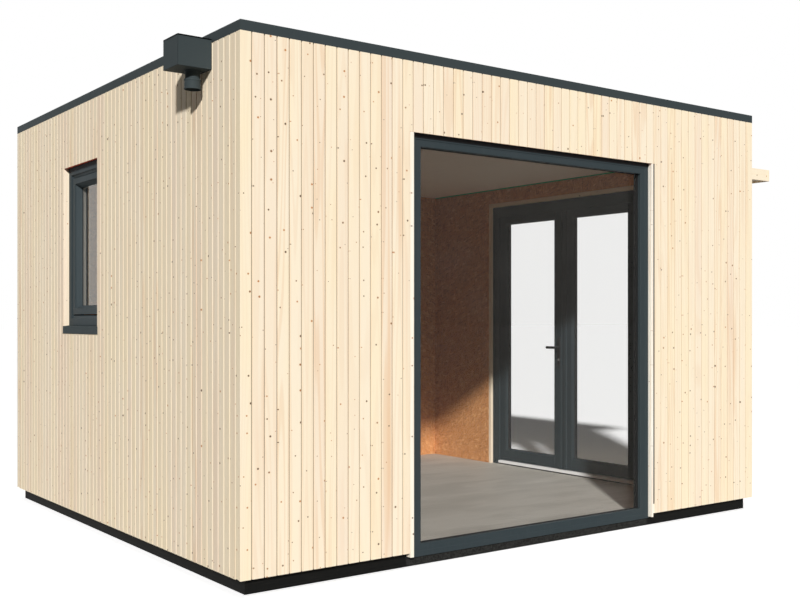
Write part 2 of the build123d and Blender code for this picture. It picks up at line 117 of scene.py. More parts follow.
class Value:
    """An output socket of a node tree, with arithmetic that adds Math nodes."""

    def __init__(self, nodes: "Nodes", socket: bpy.types.NodeSocket) -> None:
        """Wrap one socket."""
        self.nodes = nodes
        self.socket = socket

    def maths(self, operation: str, *operands: Operand) -> "Value":
        """Add one Math node to the tree."""
        return self.nodes.add("ShaderNodeMath", {"operation": operation}, dict(enumerate(operands)))

    def __add__(self, other: Operand) -> "Value":
        """Sum of two values."""
        return self.maths("ADD", self, other)

    def __radd__(self, other: Operand) -> "Value":
        """Sum of two values."""
        return self.maths("ADD", other, self)

    def __sub__(self, other: Operand) -> "Value":
        """Difference of two values."""
        return self.maths("SUBTRACT", self, other)

    def __rsub__(self, other: Operand) -> "Value":
        """Difference of two values."""
        return self.maths("SUBTRACT", other, self)

    def __mul__(self, other: Operand) -> "Value":
        """Product of two values."""
        return self.maths("MULTIPLY", self, other)

    def __rmul__(self, other: Operand) -> "Value":
        """Product of two values."""
        return self.maths("MULTIPLY", other, self)

    def __truediv__(self, other: Operand) -> "Value":
        """Quotient of two values."""
        return self.maths("DIVIDE", self, other)

    def __rtruediv__(self, other: Operand) -> "Value":
        """Quotient of two values."""
        return self.maths("DIVIDE", other, self)

    def __gt__(self, other: Operand) -> "Value":
        """One where this is the greater, and otherwise nought."""
        return self.maths("GREATER_THAN", self, other)

    def sine(self) -> "Value":
        """Sine of this value."""
        return self.maths("SINE", self)

    def floor(self) -> "Value":
        """The whole number below this value."""
        return self.maths("FLOOR", self)

    def fold(self, size: float) -> "Value":
        """This value folded to and fro between nought and a size."""
        return self.maths("PINGPONG", self, size)

    def power(self, exponent: float) -> "Value":
        """This value raised to a power."""
        return self.maths("POWER", self, exponent)

    def larger(self, other: Operand) -> "Value":
        """The larger of two values."""
        return self.maths("MAXIMUM", self, other)

    def share(self, start: float, end: float) -> "Value":
        """A soft step from nought at start to one at end."""
        settings = {"interpolation_type": "SMOOTHSTEP"}
        sockets = {"Value": self, "From Min": start, "From Max": end}
        return self.nodes.add("ShaderNodeMapRange", settings, sockets)

    def beside(self, name: str) -> "Value":
        """Another output of the same node."""
        return Value(self.nodes, self.socket.node.outputs[name])


class Nodes:
    """A node tree that is filled from Python expressions."""

    def __init__(self, tree: bpy.types.NodeTree) -> None:
        """Empty the tree."""
        self.tree = tree
        tree.nodes.clear()

    def add(
        self,
        kind: str,
        settings: Mapping[str, Any],
        sockets: Mapping[Union[str, int], Any],
        output: Union[str, int] = 0,
    ) -> Value:
        """Add one node.

        Args:
            kind: the node's type
            settings: its properties, set first
            sockets: values or links for its inputs, by name or number
            output: the output that is wanted

        Returns:
            That output, as a value.
        """
        node = self.tree.nodes.new(kind)
        for name, setting in settings.items():
            setattr(node, name, setting)
        for key, given in sockets.items():
            if isinstance(given, Value):
                self.tree.links.new(given.socket, node.inputs[key])
            else:
                node.inputs[key].default_value = given
        return Value(self, node.outputs[output])

    def surface(self, kind: str, shader: Value) -> None:
        """Show a shader at the tree's output node."""
        node = self.tree.nodes.new(kind)
        self.tree.links.new(shader.socket, node.inputs["Surface"])

    def spot(self) -> Value:
        """The place on the piece, in metres."""
        return self.add("ShaderNodeTexCoord", {}, {}, "Object")

    def attribute(self, name: str) -> Value:
        """A number that each face carries."""
        return self.add("ShaderNodeAttribute", {"attribute_name": name}, {}, "Fac")

    def chances(self, seed: Value) -> tuple[Value, Value, Value]:
        """Three chance numbers from one."""
        noise = self.add("ShaderNodeTexWhiteNoise", {"noise_dimensions": "1D"}, {"W": seed}, "Color")
        return self.parts(noise)

    def parts(self, vector: Value) -> tuple[Value, Value, Value]:
        """The three parts of a vector or colour."""
        split = self.add("ShaderNodeSeparateXYZ", {}, {0: vector})
        return split, split.beside("Y"), split.beside("Z")

    def vector(self, across: Operand, deep: Operand, up: Operand = 0.0) -> Value:
        """A vector from its parts."""
        return self.add("ShaderNodeCombineXYZ", {}, {0: across, 1: deep, 2: up})

    def vectors(self, operation: str, *vectors: Any, output: Union[str, int] = 0) -> Value:
        """One Vector Math node."""
        return self.add("ShaderNodeVectorMath", {"operation": operation}, dict(enumerate(vectors)), output)

    def noise(self, vector: Value, scale: float, detail: float = 2.0) -> Value:
        """Cloudy noise from nought to one."""
        return self.add("ShaderNodeTexNoise", {}, {"Vector": vector, "Scale": scale, "Detail": detail})

    def cells(self, vector: Value, scale: float) -> Value:
        """Distance to the middle of flat cells, beside each cell's chance colour."""
        sockets = {"Vector": vector, "Scale": scale}
        return self.add("ShaderNodeTexVoronoi", {"voronoi_dimensions": "2D"}, sockets)

    def mix(self, share: Operand, first: Any, second: Any) -> Value:
        """A colour between two others."""
        return self.add("ShaderNodeMix", {"data_type": "RGBA"}, {0: share, 6: first, 7: second}, 2)

    def bump(self, height: Value, depth: float, strength: float = 1.0) -> Value:
        """A normal from a height of the given depth in metres."""
        return self.add("ShaderNodeBump", {}, {"Strength": strength, "Distance": depth, "Height": height})

    def principled(
        self, colour: Value, roughness: Value, shine: float, normal: Value, metallic: float = 0.0
    ) -> Value:
        """The main surface shader.

        Args:
            colour: base colour
            roughness: how matt it is
            shine: strength of its plain mirror
            normal: its bumps
            metallic: how metallic it is

        Returns:
            The shader.
        """
        sockets = {
            "Base Color": colour,
            "Metallic": metallic,
            "Roughness": roughness,
            "Specular IOR Level": shine,
            "Normal": normal,
        }
        return self.add("ShaderNodeBsdfPrincipled", {}, sockets)


@dataclass(frozen=True)
class Finish:
    """A surface finish that becomes one material."""

    name: str

    def shade(self, nodes: Nodes) -> Value:
        """The finish's shader."""
        raise NotImplementedError

    def material(self) -> bpy.types.Material:
        """The finish's material, made on first use."""
        label = f"finish_{self.name}"
        made = bpy.data.materials.get(label)
        if made is None:
            made = bpy.data.materials.new(label)
            made.use_nodes = True
            nodes = Nodes(made.node_tree)
            nodes.surface("ShaderNodeOutputMaterial", self.shade(nodes))
        return made


@dataclass(frozen=True)
class Timber(Finish):
    """Planed softwood: long grain, board-to-board tones, flames, warm streaks, small knots; painted shade in
    grooves and on board ends.
    """

    grain: Grain = Grain.UPRIGHT
    plain: Colour = (0.945, 0.825, 0.64, 1.0)
    yellow: Colour = (0.955, 0.82, 0.585, 1.0)
    rosy: Colour = (0.9, 0.745, 0.585, 1.0)
    streak: Colour = (0.82, 0.57, 0.36, 1.0)
    halo: Colour = (0.76, 0.5, 0.27, 1.0)
    knot_pale: Colour = (0.5, 0.2, 0.055, 1.0)
    knot_dark: Colour = (0.075, 0.038, 0.017, 1.0)
    # Painted shade for groove sides and bottoms.
    groove_painted_shade: Colour = (0.22, 0.185, 0.14, 1.0)
    # Painted red-brown shade for downward board ends over openings.
    soffit_painted_shade: Colour = (0.72, 0.1, 0.05, 1.0)
    stretch: float = 0.035
    knots_per_metre: float = 12.5
    relief: float = 0.0004

    def shade(self, nodes: Nodes) -> Value:
        """The finish's shader."""
        spot = nodes.spot()
        first, second, third = nodes.chances(nodes.attribute("tone") * 977.0)
        # The deep mark: painted groove shade up to one, painted red-brown soffit shade at two.
        depth = nodes.attribute("deep")
        along = self.grain.value
        squeeze = tuple(1.0 - part * (1.0 - self.stretch) for part in along)
        shift = nodes.vector(first * 9.0, second * 7.0, third * 5.0)
        fibres = nodes.vectors("MULTIPLY_ADD", spot, squeeze, shift)
        across = nodes.vectors("DOT_PRODUCT", spot, tuple(1.0 - part for part in along), output=1)
        lengthwise = nodes.vectors("DOT_PRODUCT", spot, along, output=1)
        cell = nodes.vector(across + first * 17.0, lengthwise + second * 13.0)
        knots = nodes.cells(cell, self.knots_per_metre)
        size, kept, darkness = nodes.parts(knots.beside("Color"))
        near = knots / (0.022 + size * size * 0.04)
        present = kept > 0.18
        core = near.share(1.15, 0.8) * present
        halo = near.share(2.0, 0.9) * present
        swirl = nodes.noise(fibres, 11.0, 1.0) + halo * 0.03
        rings = (swirl * 74.0).sine().share(-0.2, 0.95)
        thread = nodes.noise(fibres, 420.0, 3.0)
        warm = nodes.noise(nodes.vectors("ADD", fibres, (3.7, 1.9, 0.6)), 15.0, 2.0)
        drift = nodes.noise(nodes.vector(across * 3.0, lengthwise * 0.9 + third * 31.0), 1.0, 1.0)
        patch = nodes.noise(nodes.vector(across * 9.0 + first * 21.0, lengthwise * 1.6), 1.0, 2.0)
        base = nodes.mix((first * 0.7 - 0.55 + patch * 1.3).share(0.0, 1.0), self.plain, self.yellow)
        base = nodes.mix((second * 1.2 - 1.2 + drift * 1.2).share(0.0, 1.0), base, self.rosy)
        base = nodes.mix(warm.share(0.6, 0.82) * (0.25 + third * 0.6), base, self.streak)
        base = nodes.mix(rings * (0.08 + 0.12 * second + third.share(0.65, 0.95) * 0.3), base, self.streak)
        base = nodes.mix(thread.share(0.5, 0.8) * 0.12, base, self.streak)
        base = nodes.mix(halo * 0.3, base, self.halo)
        knot = nodes.mix(darkness.share(0.2, 0.65), self.knot_pale, self.knot_dark)
        base = nodes.mix(core * 0.94, base, knot)
        # Painted shade: groove sides and bottoms darken towards the groove shade colour.
        base = nodes.mix(depth.share(0.0, 1.0) * 0.85, base, self.groove_painted_shade)
        # Painted shade: downward board ends over openings take a red-brown that stands in for their shaded
        # soffit.
        base = nodes.mix(depth.share(1.4, 1.6), base, self.soffit_painted_shade)
        height = thread * 0.6 + rings * 0.25 - core * 0.5
        roughness = 0.56 + thread * 0.16 - core * 0.1
        return nodes.principled(base, roughness, 0.2, nodes.bump(height, self.relief, 0.7))


@dataclass(frozen=True)
class FlakeBoard(Finish):
    """Pressed board of wood flakes that lie at all angles."""

    pale: Colour = (0.695, 0.333, 0.128, 1.0)
    brown: Colour = (0.58, 0.253, 0.092, 1.0)
    dark: Colour = (0.43, 0.178, 0.065, 1.0)
    fleck: Colour = (0.83, 0.47, 0.215, 1.0)
    flake_length: float = 0.034
    flake_width: float = 0.0078
    sheet_width: float = 1.22
    relief: float = 0.00004

    def shade(self, nodes: Nodes) -> Value:
        """The finish's shader."""
        east, north, up = nodes.parts(nodes.spot())
        facing = nodes.add("ShaderNodeNewGeometry", {}, {}, "Normal")
        across = east + north + nodes.vectors("DOT_PRODUCT", facing, (3.7, 9.1, 0.0), output=1)
        base: Any = self.brown
        height: Any = 0.0
        for angle, cover in ((0.35, 0.0), (-0.9, 0.35), (1.5, 0.5), (-0.25, 0.62)):
            run = across * math.cos(angle) + up * math.sin(angle)
            side = up * math.cos(angle) - across * math.sin(angle)
            flakes = nodes.cells(nodes.vector(run / self.flake_length, side / self.flake_width), 1.0)
            shade, top, lift = nodes.parts(flakes.beside("Color"))
            fibre = nodes.noise(nodes.vector(run * 40.0, side * 900.0), 1.0, 2.0)
            tint = nodes.mix(shade * 0.75 + fibre * 0.3, self.brown, self.pale)
            tint = nodes.mix(shade.share(0.3, 0.05) * 0.75, tint, self.dark)
            tint = nodes.mix(shade.share(0.8, 0.97) * 0.8, tint, self.fleck)
            tint = nodes.mix(flakes.share(0.35, 0.75) * 0.2, tint, self.dark)
            shown = top > cover
            base = nodes.mix(shown, base, tint)
            height = height * (1.0 - shown) + (lift * 0.7 + fibre * 0.3) * shown
        seam = (across / self.sheet_width).fold(0.5).share(0.0025, 0.0012)
        base = nodes.mix(seam * 0.8, base, self.dark)
        normal = nodes.bump(height - seam, self.relief, 0.3)
        return nodes.principled(base, 0.62 - height * 0.14, 0.15, normal)


@dataclass(frozen=True)
class Coating(Finish):
    """Paint or powder coat: an even colour with fine peel, faint dust and rain marks."""

    colour: Colour
    dusty: Colour
    roughness: float = 0.44
    shine: float = 0.08
    peel: float = 0.00012
    peel_scale: float = 900.0
    dust: float = 0.18

    def shade(self, nodes: Nodes) -> Value:
        """The finish's shader."""
        spot = nodes.spot()
        cloud = nodes.noise(spot, 3.1, 4.0)
        runs = nodes.noise(nodes.vectors("MULTIPLY", spot, (38.0, 38.0, 1.6)), 1.0, 2.0)
        peel = nodes.noise(spot, self.peel_scale, 1.0)
        dust = cloud.share(0.42, 0.78) * 0.6 + runs.share(0.5, 0.8) * 0.4
        base = nodes.mix(dust * self.dust, self.colour, self.dusty)
        roughness = self.roughness + dust * 0.16 + (peel - 0.5) * 0.06
        return nodes.principled(base, roughness, self.shine, nodes.bump(peel, self.peel, 0.5))


@dataclass(frozen=True)
class StainedTimber(Finish):
    """Rough timber under a dark stain, with the grain showing through, and a lighter speckled run painted as
    sunlight.
    """

    colour: Colour = (0.0055, 0.0055, 0.005, 1.0)
    raised: Colour = (0.018, 0.0175, 0.016, 1.0)
    painted_sunlit: Colour = (0.03, 0.03, 0.028, 1.0)
    painted_sunlit_run: Pair = (0.0, 0.0)
    grain: Grain = Grain.SIDEWAYS
    relief: float = 0.0009

    def shade(self, nodes: Nodes) -> Value:
        """The finish's shader."""
        squeeze = tuple(1.0 - part * 0.96 for part in self.grain.value)
        spot = nodes.vectors("MULTIPLY", nodes.spot(), squeeze)
        fibre = nodes.noise(spot, 190.0, 4.0)
        cloud = nodes.noise(nodes.spot(), 6.0, 3.0)
        base = nodes.mix(fibre.share(0.45, 0.8) * cloud, self.colour, self.raised)
        # Painted light: along the given run the stain turns lighter and speckled, as if sunlit where no boards
        # overhang.
        if self.painted_sunlit_run[1] > self.painted_sunlit_run[0]:
            east, _, _ = nodes.parts(nodes.spot())
            left, right = self.painted_sunlit_run
            under = east.share(left, left + NEAR) * east.share(right, right - NEAR)
            speck = nodes.noise(nodes.spot(), 130.0, 1.0)
            base = nodes.mix(under * speck.share(0.2, 0.7), base, self.painted_sunlit)
        return nodes.principled(base, 0.6 + fibre * 0.25, 0.08, nodes.bump(fibre, self.relief, 0.6))


@dataclass(frozen=True)
class Rubber(Finish):
    """Matt rubber with soft creases and a little dust."""

    colour: Colour = (0.018, 0.018, 0.018, 1.0)
    dusty: Colour = (0.075, 0.072, 0.066, 1.0)
    scale: float = 7.0
    crease: float = 0.0012

    def shade(self, nodes: Nodes) -> Value:
        """The finish's shader."""
        spot = nodes.spot()
        crease = nodes.noise(spot, self.scale, 3.0)
        dust = nodes.noise(spot, self.scale * 2.3, 5.0)
        speck = nodes.noise(spot, 650.0, 1.0)
        base = nodes.mix(dust.share(0.45, 0.8) * 0.5, self.colour, self.dusty)
        normal = nodes.bump(crease + speck * 0.06, self.crease, 0.6)
        return nodes.principled(base, 0.68 + dust * 0.2, 0.2, normal)


@dataclass(frozen=True)
class BareMetal(Finish):
    """Drawn metal with fine lines along one direction."""

    colour: Colour = (0.72, 0.7, 0.66, 1.0)
    dull: Colour = (0.5, 0.485, 0.45, 1.0)
    lines: tuple[float, float, float] = (900.0, 4.0, 900.0)
    relief: float = 0.0001

    def shade(self, nodes: Nodes) -> Value:
        """The finish's shader."""
        spot = nodes.spot()
        line = nodes.noise(nodes.vectors("MULTIPLY", spot, self.lines), 1.0, 2.0)
        cloud = nodes.noise(spot, 12.0, 3.0)
        base = nodes.mix(cloud * 0.7 + line * 0.2, self.colour, self.dull)
        return nodes.principled(base, 0.36 + line * 0.18, 0.5, nodes.bump(line, self.relief, 0.5), 0.75)


@dataclass(frozen=True)
class Glass(Finish):
    """Clear pane: what is behind shows through, with a faint mirror that grows at a slant and thin dust."""

    tint: Colour = (0.965, 0.965, 0.963, 1.0)
    mirror: Colour = (0.97, 0.94, 0.88, 1.0)
    straight: float = 0.0115
    slanted: float = 1.5
    dust: float = 0.004

    def shade(self, nodes: Nodes) -> Value:
        """The finish's shader."""
        smear = nodes.noise(nodes.spot(), 5.0, 4.0).share(0.45, 0.85)
        facing = nodes.add("ShaderNodeLayerWeight", {}, {"Blend": 0.5}, "Facing")
        slant = facing.power(5.0) * self.slanted
        clear = nodes.add("ShaderNodeBsdfTransparent", {}, {"Color": self.tint})
        shine = nodes.add("ShaderNodeBsdfGlossy", {}, {"Color": self.mirror, "Roughness": 0.03})
        share = slant + self.straight + smear * self.dust
        return nodes.add("ShaderNodeMixShader", {}, {0: share, 1: clear, 2: shine})


@dataclass(frozen=True)
class FloorSheet(Finish):
    """Grey wood-look floor planks that run across the cabin."""

    colour: Colour = (0.55, 0.52, 0.46, 1.0)
    light: Colour = (0.67, 0.645, 0.585, 1.0)
    dark: Colour = (0.42, 0.395, 0.345, 1.0)
    plank: float = 0.19
    plank_length: float = 1.28
    relief: float = 0.0003

    def shade(self, nodes: Nodes) -> Value:
        """The finish's shader."""
        east, north, _ = nodes.parts(nodes.spot())
        rows = north / self.plank
        row = rows.floor()
        start, _, _ = nodes.chances(row * 3.7)
        tile = (east / self.plank_length + start).floor()
        first, second, third = nodes.chances(row * 3.7 + tile * 17.3)
        run = nodes.vector(east * 2.2 + first * 0.6, north * 5.0, second * 0.4)
        cloud = nodes.noise(run, 1.0, 4.0)
        fibre = nodes.noise(nodes.vector(east * 9.0 + second * 4.0, north * 420.0), 1.0, 2.0)
        streak = nodes.noise(nodes.vector(east * 1.1 + third * 7.0, north * 40.0), 1.0, 3.0)
        seam = rows.fold(0.5).share(0.009, 0.003)
        base = nodes.mix(first * 0.4, self.colour, self.light)
        base = nodes.mix(cloud.share(0.4, 0.66) * 0.5, base, self.dark)
        base = nodes.mix(streak.share(0.5, 0.75) * 0.12, base, self.light)
        base = nodes.mix(fibre.share(0.5, 0.85) * 0.15, base, self.light)
        base = nodes.mix(seam * 0.08, base, self.dark)
        normal = nodes.bump(fibre * 0.5 - seam, self.relief, 0.5)
        return nodes.principled(base, 0.5 + cloud * 0.15, 0.2, normal)


@dataclass(frozen=True)
class CeilingSheet(Finish):
    """Pale ceiling board with a faint grain and sheet joints."""

    colour: Colour = (0.95, 0.87, 0.755, 1.0)
    dark: Colour = (0.8, 0.71, 0.59, 1.0)
    sheet_width: float = 0.6
    relief: float = 0.0005

    def shade(self, nodes: Nodes) -> Value:
        """The finish's shader."""
        east, north, _ = nodes.parts(nodes.spot())
        fibre = nodes.noise(nodes.vector(east * 260.0, north * 5.0), 1.0, 4.0)
        cloud = nodes.noise(nodes.vector(east * 6.0, north * 0.8), 1.0, 3.0)
        seam = (east / self.sheet_width).fold(0.5).share(0.006, 0.002)
        base = nodes.mix(fibre.share(0.42, 0.8) * 0.45 + cloud * 0.25, self.colour, self.dark)
        base = nodes.mix(seam * 0.5, base, self.dark)
        normal = nodes.bump(fibre * 0.4 - seam, self.relief, 0.5)
        return nodes.principled(base, 0.66 + fibre * 0.1, 0.18, normal)


ANTHRACITE: Colour = (0.045, 0.057, 0.06, 1.0)
ANTHRACITE_PAINT: Colour = (0.036, 0.048, 0.053, 1.0)
ANTHRACITE_DUST: Colour = (0.08, 0.09, 0.092, 1.0)
PINE_PLAIN: Colour = (0.8, 0.68, 0.52, 1.0)
PINE_YELLOW: Colour = (0.82, 0.68, 0.48, 1.0)
PANE_LOW, PANE_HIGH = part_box("glazing_glass")
# How far left of the glazing frame's rail the plinth's painted sunlit run starts.
SUNLIT_MARGIN = 0.022
BOARDS = Timber("cladding_boards")
CANOPY_LONG = Timber("canopy_boards_long", Grain.BACKWARDS)
CANOPY_SHORT = Timber("canopy_boards_short", Grain.SIDEWAYS)
PINE = Timber("lining_pine_upright", plain=PINE_PLAIN, yellow=PINE_YELLOW)
PINE_HEAD = Timber("lining_pine_head", Grain.BACKWARDS, PINE_PLAIN, PINE_YELLOW)
# A lighter copy of the board timber: painted light that makes the reveals look brightly lit.
REVEAL_PAINTED_BRIGHT = Timber(
    "reveal_boards",
    plain=(0.985, 0.93, 0.82, 1.0),
    yellow=(0.985, 0.92, 0.78, 1.0),
    rosy=(0.97, 0.88, 0.76, 1.0),
)
FLAKES = FlakeBoard("flake_board")
METAL_SHEET = Coating("anthracite_sheet", ANTHRACITE, ANTHRACITE_DUST, 0.5, 0.025)
PAINTED_FRAME = Coating(
    "anthracite_frame", ANTHRACITE_PAINT, ANTHRACITE_DUST, 0.5, 0.06, peel=0.0001, peel_scale=400.0
)
SPACER = Coating("glass_spacer", (0.21, 0.2, 0.18, 1.0), (0.17, 0.16, 0.145, 1.0), 0.4, 0.3)
BLACK_COAT = Coating("lever_black", (0.012, 0.012, 0.013, 1.0), (0.04, 0.04, 0.04, 1.0), 0.36, 0.3)
PLINTH_STAIN = StainedTimber(
    "plinth_stain_sideways",
    painted_sunlit_run=(PANE_LOW.x - GLAZING_RAIL - SUNLIT_MARGIN, PANE_HIGH.x + GLAZING_RAIL),
)
PLINTH_STAIN_DEEP = StainedTimber("plinth_stain_backwards", grain=Grain.BACKWARDS)
ROOF_RUBBER = Rubber("roof_rubber", dusty=(0.04, 0.039, 0.037, 1.0))
GASKET = Rubber("black_gasket", dusty=(0.03, 0.03, 0.03, 1.0), scale=60.0, crease=0.0002)
# Near-black strip that paints shadow at the frame heads and in the right reveal joint.
BLACK_SHADOW_STRIP = Rubber("head_seal", (0.004, 0.004, 0.0045, 1.0), (0.008, 0.008, 0.009, 1.0), 60.0, 0.0002)
GREEN_SEAL = Rubber("green_seal", (0.06, 0.42, 0.17, 1.0), (0.1, 0.47, 0.22, 1.0), 40.0, 0.0003)
SCREW_STEEL = BareMetal("screw_steel", (0.5, 0.5, 0.48, 1.0), (0.3, 0.3, 0.29, 1.0), (300.0, 300.0, 300.0))
PALE_ALUMINIUM = Coating("threshold_aluminium", (0.93, 0.925, 0.91, 1.0), (0.7, 0.68, 0.64, 1.0), 0.34, 0.4)
CLEAR_GLASS = Glass("clear_glass")
GREY_FLOOR = FloorSheet("grey_floor")
PALE_CEILING = CeilingSheet("pale_ceiling")


@dataclass(frozen=True)
class Rect:
    """A rectangle on a wall: along it and up."""

    left: float
    right: float
    low: float
    high: float

    def grown(self, margin: float) -> "Rect":
        """The rectangle with a margin all round."""
        return Rect(self.left - margin, self.right + margin, self.low - margin, self.high + margin)

    def loop(self) -> list[Pair]:
        """Its corners, with the inside on the left of the way round."""
        low, high = self.low, self.high
        return [(self.left, low), (self.right, low), (self.right, high), (self.left, high)]

    def arch(self) -> list[Pair]:
        """Its sides and head as an open way, with the inside on the left."""
        corners = self.loop()
        return corners[1:] + corners[:1]


@dataclass(frozen=True)
class Wall:
    """An outer wall face: its first corner, the way along it and the way in."""

    corner: Vector
    along: Vector
    inward: Vector

    def place(self, along: float, up: float, depth: float) -> Vector:
        """A point from its distance along the wall, its height and its depth behind the face."""
        return self.corner + self.along * along + self.inward * depth + Vector((0.0, 0.0, up))

    def rect(self, node: str) -> Rect:
        """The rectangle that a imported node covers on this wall."""
        low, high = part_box(node)
        edges = sorted((corner - self.corner).dot(self.along) for corner in (low, high))
        return Rect(edges[0], edges[1], low.z, high.z)

    def depths(self, node: str) -> Pair:
        """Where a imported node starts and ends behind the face."""
        edges = sorted((corner - self.corner).dot(self.inward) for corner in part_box(node))
        return edges[0], edges[1]


class Form:
    """A mesh in the making, in metres, in the cabin's frame."""

    def __init__(self) -> None:
        """Start an empty mesh whose faces carry a tone and a mark for painted shade."""
        self.mesh = bmesh.new()
        self.layer = self.mesh.faces.layers.float.new("tone")
        self.deep = self.mesh.faces.layers.float.new("deep")
        self.tone = 0.5

    def skin(self, rings: Sequence[Sequence[Vector]], closed: bool = False) -> None:
        """Join rings of points one after another.

        Args:
            rings: rings with the same number of points
            closed: join the last ring to the first; otherwise both ends are capped
        """
        rows = [[self.mesh.verts.new(point) for point in ring] for ring in rings]
        pairs = list(zip(rows, rows[1:]))
        if closed:
            pairs.append((rows[-1], rows[0]))
        faces = []
        for one, two in pairs:
            for index in range(len(one)):
                after = (index + 1) % len(one)
                faces.append(self.mesh.faces.new((one[index], one[after], two[after], two[index])))
        if not closed:
            faces.append(self.mesh.faces.new(rows[0][::-1]))
            faces.append(self.mesh.faces.new(rows[-1]))
        for face in faces:
            face[self.layer] = self.tone

    def bar(self, low: Vector, high: Vector, ease: float = EASE) -> None:
        """A block between two corners with all its edges eased."""
        ease = min([ease] + [(top - bottom) * 0.3 for bottom, top in zip(low, high)])
        rings = []
        for inset, cut, height in (
            (ease, ease * 0.6, low.z),
            (0.0, ease, low.z + ease),
            (0.0, ease, high.z - ease),
            (ease, ease * 0.6, high.z),
        ):
            left, right = low.x + inset, high.x - inset
            front, back = low.y + inset, high.y - inset
            corners = (
                (left + cut, front),
                (right - cut, front),
                (right, front + cut),
                (right, back - cut),
                (right - cut, back),
                (left + cut, back),
                (left, back - cut),
                (left, front + cut),
            )
            rings.append([Vector((x, y, height)) for x, y in corners])
        self.skin(rings)

    def block(self, wall: Wall, rect: Rect, depths: Pair, ease: float = EASE) -> None:
        """An eased block on a wall, from a rectangle and two depths."""
        ends = (wall.place(rect.left, rect.low, depths[0]), wall.place(rect.right, rect.high, depths[1]))
        low = Vector(map(min, *ends))
        high = Vector(map(max, *ends))
        self.bar(low, high, ease)

    def sweep(self, way: Sequence[Pair], profile: Sequence[Pair], place: Place, closed: bool = True) -> None:
        """Carry a profile along a way on a wall, with mitred corners.

        Args:
            way: corners along the wall and up
            profile: distances to the left of the way, and depths
            place: turns along, up and depth into a point
            closed: the way is a loop
        """
        rings = []
        for index, corner in enumerate(way):
            spot = Vector(corner)
            before = spot - Vector(way[index - 1])
            after = Vector(way[(index + 1) % len(way)]) - spot
            runs = [before, after]
            if not closed and index == 0:
                runs = [after]
            elif not closed and index == len(way) - 1:
                runs = [before]
            sides = [Vector((-run.y, run.x)).normalized() for run in runs]
            mitre = sides[0] if len(sides) == 1 else (sides[0] + sides[1]) / (1.0 + sides[0].dot(sides[1]))
            ring = []
            for aside, depth in profile:
                ring.append(place(spot.x + mitre.x * aside, spot.y + mitre.y * aside, depth))
            rings.append(ring)
        self.skin(rings, closed)

    def turn(
        self, profile: Sequence[Pair], centre: Vector, axis: Vector, closed: bool = False, steps: int = 28
    ) -> None:
        """Turn a profile about an axis.

        Args:
            profile: radii and distances along the axis
            centre: where distances start
            axis: direction of the axis
            closed: the profile is a loop, as for a pipe
            steps: sides of the round
        """
        across = axis.orthogonal().normalized()
        other = axis.cross(across).normalized()
        turns = [2.0 * math.pi * step / steps for step in range(steps)]
        rings = [
            [
                centre + axis * height + (across * math.cos(angle) + other * math.sin(angle)) * radius
                for angle in turns
            ]
            for radius, height in profile
        ]
        self.skin(rings, closed)

    def piece(
        self,
        name: str,
        body: Body,
        slot: Slot,
        finish: Finish,
        nodes: Sequence[str] = (),
        smooth: float = 0.0,
    ) -> None:
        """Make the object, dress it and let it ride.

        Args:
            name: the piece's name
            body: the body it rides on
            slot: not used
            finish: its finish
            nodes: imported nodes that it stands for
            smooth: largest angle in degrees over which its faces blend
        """
        bmesh.ops.recalc_face_normals(self.mesh, faces=self.mesh.faces)
        mesh = bpy.data.meshes.new(name)
        self.mesh.to_mesh(mesh)
        self.mesh.free()
        if smooth:
            mesh.shade_smooth()
            mesh.set_sharp_from_angle(angle=math.radians(smooth))
        mesh.materials.append(finish.material())
        made = bpy.data.objects.new(name, mesh)
        bpy.context.scene.collection.objects.link(made)
        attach(made, body.value)
        if nodes:
            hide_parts(*nodes)
        LOG.info("%s: %d faces on %s", name, len(mesh.polygons), body.value)


def dress(finish: Finish, *nodes: str) -> None:
    """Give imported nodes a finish."""
    for node in nodes:
        for slot in frame["nodes"][node].material_slots:
            slot.material = finish.material()
        LOG.info("%s keeps its packed shape", node)


def tones(name: str) -> random.Random:
    """A seeded source of tones for one piece."""
    return random.Random(name)


SHELL_LOW, SHELL_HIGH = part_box("back_cladding")
SHELL_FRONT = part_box("front_cladding_header")[0].y
SHELL_WIDTH = SHELL_HIGH.x - SHELL_LOW.x
FRONT = Wall(Vector((SHELL_LOW.x, SHELL_FRONT, 0.0)), Vector((1, 0, 0)), Vector((0, 1, 0)))
BACK = Wall(Vector((SHELL_LOW.x, SHELL_HIGH.y, 0.0)), Vector((1, 0, 0)), Vector((0, -1, 0)))
LEFT = Wall(Vector((SHELL_LOW.x, SHELL_FRONT, 0.0)), Vector((0, 1, 0)), Vector((1, 0, 0)))
RIGHT = Wall(Vector((SHELL_HIGH.x, SHELL_FRONT, 0.0)), Vector((0, 1, 0)), Vector((-1, 0, 0)))


def closing_sides(form: Form, wall: Wall, hole: Rect, depths: Pair) -> None:
    """Upright strips that close the gap behind the boards beside an opening."""
    for left in (hole.left - CLOSING, hole.right):
        form.block(wall, Rect(left, left + CLOSING, hole.low, hole.high), depths, HAIR)


def closing_head(form: Form, wall: Wall, hole: Rect, depths: Pair) -> None:
    """A level strip that closes the gap behind the boards over an opening."""
    low = hole.high + CLOSING_RISE
    form.block(wall, Rect(hole.left, hole.right, low, low + CLOSING), depths, HAIR)


def joint_spot(body: Body) -> Sequence[float]:
    """The place of a moving body's joint, in metres."""
    return next(joint["pos_m"] for joint in frame["joints"] if joint["child"] == body.value)


